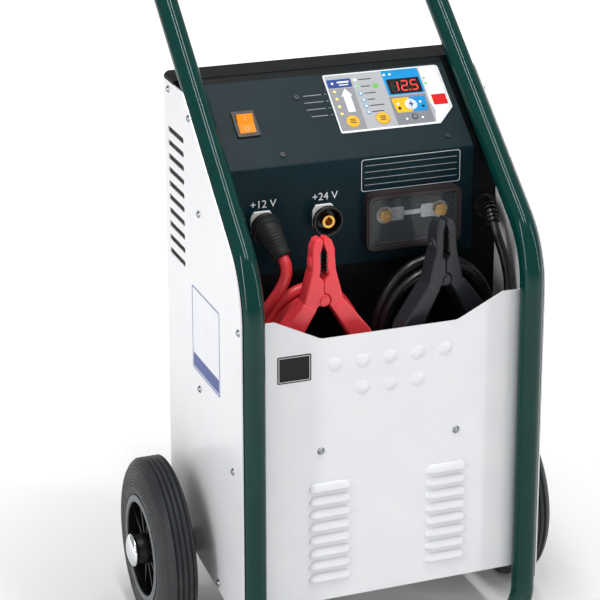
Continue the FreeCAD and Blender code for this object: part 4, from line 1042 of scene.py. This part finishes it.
@dataclass
class Clamp:
    """Spring clamp with soft moulded sleeves and steel teeth between its jaws."""

    word: str
    x: float
    z: float
    turn: float
    jaw: Body
    y: float = 46.0
    voxel: float = 0.9
    passes: int = 10
    tooth_count: int = 8

    def place(self, a: float, b: float, w: float) -> Vector:
        """Point of the clamp: a across, b up from the pivot, w towards the front."""
        angle = math.radians(self.turn)
        x = self.x + a * math.cos(angle) + w * math.sin(angle)
        y = self.y + a * math.sin(angle) - w * math.cos(angle)
        return at(x, y, self.z + b)

    def half(self, word: str, body: Body) -> Piece:
        """Makes one half with every edge softly rounded."""
        node = f"{self.word}_clamp_{word}"
        name = f"{node}_soft"
        source = frame["nodes"][node]
        rough = put(name + "_rough", source.data.copy())
        remesh = rough.modifiers.new("remesh", "REMESH")
        remesh.mode = "VOXEL"
        remesh.voxel_size = self.voxel * MM
        smooth = rough.modifiers.new("smooth", "SMOOTH")
        smooth.factor = 0.5
        smooth.iterations = self.passes
        data = bpy.data.meshes.new_from_object(rough.evaluated_get(bpy.context.evaluated_depsgraph_get()))
        bpy.data.objects.remove(rough)
        data.name = name
        data.shade_smooth()
        data.materials.clear()
        data.materials.append(PAINTS.get(f"clamp_{self.word}"))
        piece = put(name, data)
        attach(piece, body.value)
        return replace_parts(piece, node)

    def teeth(self, side: int, body: Body) -> Piece:
        """Makes the toothed steel strip in one jaw."""
        outline = [(side * 4.6, 30.0, 0.0)]
        for k in range(2 * self.tooth_count):
            outline.append((side * (2.9 + (0.9 if k % 2 else 0.0)), 31.0 + k * 1.9, 0.0))
        outline += [(side * 4.6, 61.0, 0.0)]
        name = f"{self.word}_teeth_{'right' if side > 0 else 'left'}"
        return plates(name, "teeth", self.place, (-7.0, 7.0), [outline], body=body)

    def build(self) -> None:
        """Makes the clamp's pieces."""
        for word, side, body in (("left", -1, self.jaw), ("right", 1, Body.TROLLEY)):
            self.half(word, body)
            self.teeth(side, body)


# Console

@dataclass
class Boot:
    """Rubber boot of the red lead's connector."""

    straight: float = 9.0
    neck: float = 6.0
    neck_r: float = 14.2
    collar: float = 13.0
    collar_r: float = 16.0
    body_r: float = 14.4
    taper: float = 4.2
    end_r: float = 9.0
    rings: int = 7
    ring_pitch: float = 3.4
    ring_half: float = 0.9
    ring_depth: float = 0.45

    def spot(self, share: float) -> Vector:
        """Point of the boot's middle line: straight out of the socket, then bent towards the lead."""
        bend = [Vector(spot) for spot in (BOOT_START, (-105.0, 93.0, 481.0), (-100.8, 87.3, 469.5), BOOT_END)]
        first = 0.2
        if share < first:
            return bend[0] + Vector((0, self.straight * (1 - share / first), 0))
        t = (share - first) / (1 - first)
        weights = ((1 - t) ** 3, 3 * t * (1 - t) ** 2, 3 * t * t * (1 - t), t ** 3)
        return sum((point * weight for point, weight in zip(bend, weights)), Vector())

    def radius(self, s: float, length: float) -> float:
        """Radius of the boot so far along it, in millimetres."""
        if s < self.collar:
            return self.neck_r if s < self.collar - self.neck else self.collar_r
        body = self.body_r - self.taper * (s - self.collar) / (length - self.collar)
        past = [s - self.collar - self.neck - self.ring_pitch * k for k in range(self.rings)]
        ring = max(math.exp(-(reach / self.ring_half) ** 2) for reach in past)
        return body - self.ring_depth * ring

    def build(self) -> Piece:
        """Makes the boot."""
        count = 110
        spots = [self.spot(i / count) for i in range(count + 1)]
        along = [0.0]
        for first, second in zip(spots, spots[1:]):
            along.append(along[-1] + (second - first).length)
        radii = [self.radius(s, along[-1]) for s in along]
        radii[-1] = radii[-2] = self.end_r
        mesh = bmesh.new()
        add_sweep(mesh, [at(*spot) for spot in spots], radii, 40)
        piece = hand_in("red_boot", mesh, "boot_rubber", sharp=50)
        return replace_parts(piece, "red_plug")


@dataclass
class Sockets:
    """Output sockets: a white nut with flats at the panel and a black cup with a flange before it."""

    z: float = 482.0

    NUT = ((12.5, -8.5), (12.5, 8.5), (8.7, 15.1), (-8.7, 15.1), (-12.5, 8.5), (-12.5, -8.5), (-8.7, -15.1),
           (8.7, -15.1))
    CUP = ((0.0, 9.9), (4.7, 9.9), (4.7, 12.6), (9.0, 13.2), (12.6, 16.2), (14.0, 17.0), (17.4, 17.0),
           (18.0, 16.4), (18.0, 14.8), (17.4, 14.4), (10.0, 11.4), (6.6, 10.6), (6.6, 9.6), (9.0, 9.2),
           (9.0, 7.2), (0.0, 7.2), (0.0, 9.9))

    def nut(self, word: str, x: float) -> Piece:
        """Makes one nut with a bored middle."""
        corners = [(x + a, self.z + b) for a, b in self.NUT]
        outer = []
        for (a0, b0), (a1, b1) in zip(corners, corners[1:] + corners[:1]):
            outer += [(a0 + (a1 - a0) * k / 3, b0 + (b1 - b0) * k / 3, 0.0) for k in range(3)]
        return plates(f"socket_nut_{word}", "nut_white", on_face, (PLATE_T, PLATE_T + 4.6),
                      rings=[(outer, disc(x, self.z, 10.2, 24))], bevel=0.4)

    def cup(self, word: str, x: float) -> Piece:
        """Makes one cup, hollow to its floor."""
        piece = turned(f"socket_cup_{word}", self.CUP, on_face(x, self.z, 0.0), Vector((0, -1, 0)), 56,
                       "socket_black", sharp=40)
        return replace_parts(piece, f"socket_body_{word}")

    def build(self) -> None:
        """Makes both."""
        for word, x in (("12v", -105.0), ("24v", -35.0)):
            self.cup(word, x)
            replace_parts(self.nut(word, x), "socket_nuts")


@dataclass
class Display:
    """Three digit display: slanted red bars on a dark window."""

    u: float = 86.5
    v: float = 86.5
    digit_w: float = 7.0
    digit_h: float = 12.8
    pitch: float = 11.4
    bar: float = 1.5
    slant: float = 0.1
    reading: str = "12.5"
    levels: tuple[float, float] = (OVERLAY_TOP + 0.19, OVERLAY_TOP + 0.19 + 0.1)

    LIT = {"1": "bc", "2": "abged", "5": "afgcd"}

    def segment(self, name: str, u: float) -> Outline:
        """Outline of one bar of a digit that is centred on u."""
        w = self.digit_w / 2
        h = self.digit_h / 2
        t = self.bar / 2
        ends = {"a": (-w, h, w, h), "g": (-w, 0, w, 0), "d": (-w, -h, w, -h), "b": (w, 0, w, h),
                "c": (w, -h, w, 0), "f": (-w, 0, -w, h), "e": (-w, -h, -w, 0)}[name]
        first = Vector(ends[:2])
        last = Vector(ends[2:])
        way = (last - first).normalized()
        side = Vector((-way.y, way.x)) * t
        a = first + way * (t + 0.15)
        b = last - way * (t + 0.15)
        corners = [first + way * 0.2, a - side, b - side, last - way * 0.2, b + side, a + side]
        return [(u + p.x + self.slant * p.y, self.v + p.y, 0.0) for p in corners]

    def build(self) -> None:
        """Makes the lit bars with the point, and the dim ones."""
        lit, dim = [], []
        u = self.u - self.pitch
        for sign in self.reading:
            if sign == ".":
                lit.append(disc(u - self.pitch / 2 - 0.6, self.v - self.digit_h / 2, 1.0, 16))
                continue
            for name in "abcdefg":
                (lit if name in self.LIT[sign] else dim).append(self.segment(name, u))
            u += self.pitch
        for name, finish, outlines in (("digits", "led_red", lit), ("dim_bars", "led_dim", dim)):
            plates(f"display_{name}", finish, on_slope, self.levels, outlines)


@dataclass
class Keypad:
    """Printed fields, marks and lamps of the membrane keypad."""

    top: float = OVERLAY_TOP
    ink: float = 0.09
    sunk: float = 0.02
    key_high: float = 0.98
    row_pitch: float = 2.3

    BORDER = (
        [(-4.0, 32.5, 2.0), (112.6, 32.5, 3.0), (133.2, 52.5, 3.0), (133.2, 110.3, 4.0), (-4.0, 110.3, 2.0)],
        [(-2.6, 34.9, 1.2), (111.6, 34.9, 2.0), (131.6, 53.9, 2.0), (131.6, 109.0, 3.0), (-2.6, 109.0, 1.2)])
    FIELDS = (
        ("grey_field", "ink_grey", 1, [rectangle(-2.2, 35.2, 27.0, 91.0, 1.0)]),
        ("blue_field", "ink_deep_blue", 1, [rectangle(-1.6, 92.0, 26.6, 103.4, 1.5)]),
        ("display_field", "ink_blue", 1, [rectangle(64.4, 75.0, 108.0, 108.8, 1.5)]),
        ("window", "display_face", 2, [rectangle(67.2, 76.4, 105.8, 96.6, 0.8)]),
        ("arrow", "ink_white", 2, [[(12.2, 59.0, 0), (20.6, 59.0, 0), (20.6, 80.4, 0), (23.0, 80.4, 0),
                                    (16.5, 90.4, 0), (10.0, 80.4, 0), (12.2, 80.4, 0)]]),
        ("field_mark", "ink_white", 2, [rectangle(10.0, 98.0, 24.0, 100.2, 0.8),
                                        rectangle(11.5, 94.8, 22.5, 96.0, 0.5)]),
        ("white_strip", "ink_white", 1, [[(107.8, 35.0, 0.5), (111.6, 35.0, 1.0), (131.2, 53.8, 2.0),
                                          (131.2, 108.6, 3.0), (109.4, 108.6, 1.0), (109.4, 62.0, 1.0),
                                          (112.0, 50.0, 1.0)]]),
        ("red_box", "ink_red", 2, [rectangle(113.0, 57.0, 129.8, 71.0, 1.2)]),
        ("slate_field", "ink_slate", 1, [rectangle(63.4, 35.2, 107.0, 73.6, 1.5)]),
        ("amber_part", "ink_amber", 2, [[(65.4, 70.6, 2.0), (86.0, 70.6, 0.0), (86.0, 51.4, 0.0),
                                         (67.6, 51.4, 2.0)]]),
        ("blue_part", "ink_blue", 2, [[(86.0, 70.6, 0.0), (105.6, 70.6, 2.0), (103.6, 51.4, 2.0),
                                       (86.0, 51.4, 0.0)]]),
        ("green_dot", "ink_green", 1, [disc(53.2, 90.2, 3.5)]),
        ("dark_dots", "ink_black", 3, [disc(71.6, 57.2, 1.9, 20), disc(99.6, 57.2, 1.7, 20)]))
    RINGS = ((31.4, 100.3), (31.8, 90.9), (33.0, 81.6), (34.0, 73.0), (34.6, 64.8), (35.0, 56.6))
    LAMPS = (
        ("yellow", "led_yellow", 1.7, [(3.9, 87.1), (3.8, 77.2), (3.8, 67.2), (3.8, 57.6)]),
        ("white", "led_white", 1.4, [(4.2, 97.9), (66.9, 103.0), (73.6, 103.0), (111.9, 80.1), (71.3, 62.9),
                                     (97.7, 63.2)]),
        ("green", "led_green", 1.5, [(111.9, 94.2), (111.9, 86.9)]),
        ("box", "led_yellow", 1.3, [(111.9, 64.4)]),
        ("key_row", "led_white", 1.3, [(75.6, 42.4), (94.2, 42.4)]),
        ("ring_white", "led_white", 1.5, [RINGS[0], *RINGS[2:]]),
        ("ring_green", "led_green", 1.5, [RINGS[1]]))
    BARS = (15.0, 11.0, 13.5, 9.0, 17.0, 14.0)
    BOLT = ((87.6, 66.0, 0), (83.0, 60.4, 0), (85.9, 60.4, 0), (84.4, 55.8, 0), (89.4, 61.9, 0),
            (86.5, 61.9, 0))

    def patch(self, name: str, finish: str, level: int, slabs: Sequence[Outline] = (),
              rings: Sequence[Sequence[Outline]] = ()) -> Piece:
        """Makes the printed patches of one ink, on an ink level above the film."""
        low = self.top + self.ink * (level - 1)
        levels = (low - self.sunk, low + self.ink)
        return plates(f"keypad_{name}", finish, on_slope, levels, slabs, rings)

    def lamps(self, name: str, finish: str, r: float, spots: Sequence[tuple[float, float]]) -> Piece:
        """Makes small domed lamps."""
        mesh = bmesh.new()
        outwards = on_slope(0, 0, 1) - on_slope(0, 0, 0)
        dome = ((0.0, r), (0.3, r), (0.5, r * 0.7), (0.58, 0.0))
        for u, v in spots:
            add_lathe(mesh, dome, on_slope(u, v, self.top + self.ink * 2), outwards, 20)
        return hand_in(f"lamps_{name}", mesh, finish)

    def lamp_rings(self) -> None:
        """Makes the rings round the column of lamps and the plain bars beside it."""
        levels = (self.top, self.top + self.ink * 2)
        groups = (("pale", "ink_pale_blue", self.RINGS[:2]), ("blue", "ink_blue", self.RINGS[2:]))
        for name, finish, spots in groups:
            rings = [(disc(u, v, 2.5), disc(u, v, 1.6)) for u, v in spots]
            plates(f"lamp_rings_{name}", finish, on_slope, levels, rings=rings)
        bars = [rectangle(u + 4.2, v - 0.55, u + 4.2 + length, v + 0.55, 0.3)
                for (u, v), length in zip(self.RINGS, self.BARS)]
        self.patch("bars", "ink_black", 1, bars)

    def key_marks(self) -> None:
        """Makes the marks on the keys: bars on the yellow ones, a lightning mark and a ring."""
        levels = (self.top + 0.88, self.top + self.key_high)
        plates("boost_bolt", "ink_deep_blue", on_slope, levels, [self.BOLT],
               body=Body.BOOST_KEY)
        levels = (self.top + 0.86, self.top + self.key_high)
        keys = (("mode", 13.6, 46.6, Body.MODE_KEY), ("select", 48.6, 46.8, Body.SELECT_KEY))
        for word, u, v, body in keys:
            rows = [v + self.row_pitch * k for k in (-1, 0, 1)]
            bars = [rectangle(u - 3.4, row - 0.55, u + 3.4, row + 0.55, 0.3) for row in rows]
            plates(f"{word}_key_bars", "ink_black", on_slope, levels, bars, body=body)
        ring = (disc(85.6, 44.3, 3.3), disc(85.6, 44.3, 2.6))
        plates("voltage_key_ring", "ink_black", on_slope, levels, rings=[ring],
               body=Body.VOLTAGE_KEY)

    def build(self) -> None:
        """Makes everything printed on the keypad."""
        self.patch("border", "ink_white", 1, rings=[self.BORDER])
        for field in self.FIELDS:
            self.patch(*field)
        for group in self.LAMPS:
            self.lamps(*group)
        self.lamp_rings()
        self.key_marks()


@dataclass
class Rocker:
    """Marks of the lit rocker switch."""

    u: float = -106.8
    v: float = 57.2
    tip: float = 9.0
    top: float = 6.6
    half: float = 11.7
    pivot: float = -2.0

    def place(self, a: float, b: float, w: float) -> Vector:
        """Point on the paddle's dished face: a across, b up from its pivot, w out of the face."""
        turn = math.radians(self.tip)
        dip = self.half * math.tan(turn)
        level = self.top - dip + (dip - 0.4) * abs(b) / self.half + w
        v = b * math.cos(turn) - level * math.sin(turn)
        out = b * math.sin(turn) + level * math.cos(turn)
        return on_slope(self.u + a, self.v + v, PLATE_T + self.pivot + out)

    def build(self) -> None:
        """Makes the bar and the ring."""
        plates("rocker_marks", "ink_peach", self.place, (0.0, 0.12),
               [rectangle(-0.6, 3.4, 0.6, 8.6, 0.3)], [(disc(0, -6.0, 2.7), disc(0, -6.0, 1.7))], Body.ROCKER)


@dataclass
class Prints:
    """Plain prints and plates on the console and the body."""

    lift: float = 0.06

    def caption(self, name: str, words: str, x: float, z: float, height: float = 12.0) -> Piece:
        """Makes a voltage beside a socket."""
        data = bpy.data.curves.new(name, "FONT")
        data.body = words
        data.size = height * MM
        data.extrude = self.lift * MM
        data.align_x = "CENTER"
        data.align_y = "CENTER"
        data.materials.append(PAINTS.get("ink_white"))
        piece = put(name, data)
        spot = on_face(x, z, PLATE_T + self.lift)
        piece.matrix_world = Matrix.Translation(spot) @ Matrix.Rotation(math.pi / 2, 4, "X")
        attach(piece, Body.TROLLEY.value)
        return piece

    def console(self) -> None:
        """Makes the ruled box above the fuse window and the short bars left of the keypad."""
        levels = (PLATE_T, PLATE_T + self.lift)
        box = (rectangle(9.0, 505.0, 125.0, 541.0, 3.0), rectangle(9.6, 505.6, 124.4, 540.4, 2.6))
        heights = [505.0 + 36.0 * i / 5 for i in range(1, 5)]
        rules = [rectangle(13.0, z - 0.15, 121.0, z + 0.15) for z in heights]
        plates("rating_table", "ink_white", on_face, levels, rules, [box])
        bars = []
        for i, length in enumerate((21.0, 22.0, 22.0, 19.0)):
            v = 86.0 - 9.2 * i
            bars.append(rectangle(-12.0 - length, v - 0.5, -12.0, v + 0.5, 0.3))
            bars.append(rectangle(-8.5, v - 0.4, -6.0, v + 0.4, 0.2))
        plates("slope_bars", "ink_grey", on_slope, levels, bars)

    def labels(self) -> None:
        """Makes the bare label on the left side panel and the small plate on the front panel."""
        label = rectangle(64.0, 313.0, 160.0, 411.0, 3.0)
        plates("side_label", "label_pale", on_left, (0.0, 0.15), [label])
        border = (rectangle(65.5, 314.5, 158.5, 409.5, 2.0), rectangle(67.0, 316.0, 157.0, 408.0, 1.5))
        foot = rectangle(68.5, 317.5, 155.5, 333.0, 1.0)
        plates("side_label_border", "ink_deep_blue", on_left, (0.14, 0.24), [foot], [border])
        plate = rectangle(-126.0, 343.6, -88.6, 373.6, 1.5)
        plates("front_plate", "ink_black", on_front, (0.0, 0.3), [plate], bevel=0.1)
        line = (rectangle(-124.6, 345.0, -90.0, 372.2, 1.0), rectangle(-124.0, 345.6, -90.6, 371.6, 0.8))
        plates("front_plate_line", "ink_white", on_front, (0.29, 0.36), rings=[line])

    def build(self) -> None:
        """Makes all of them."""
        self.caption("caption_12v", "+12 V", -103.0, 504.0)
        self.caption("caption_24v", "+24 V", -33.0, 505.0)
        self.console()
        self.labels()


def main() -> None:
    """Builds every sub-assembly in order."""
    logging.basicConfig(level=logging.INFO, format="%(message)s")
    studio = Studio()
    studio.camera()
    dress_by_slot()
    Wheel(-1, Body.WHEEL_LEFT).build()
    Wheel(1, Body.WHEEL_RIGHT).build()
    Clamp("red", -65.0, 419.5, 0.0, Body.RED_JAW).build()
    Clamp("black", 72.0, 424.5, 12.0, Body.BLACK_JAW).build()
    Boot().build()
    Sockets().build()
    Leads().build()
    Keypad().build()
    Display().build()
    Rocker().build()
    Prints().build()
    studio.floor()
    studio.light()


if __name__ == "__main__":
    main()
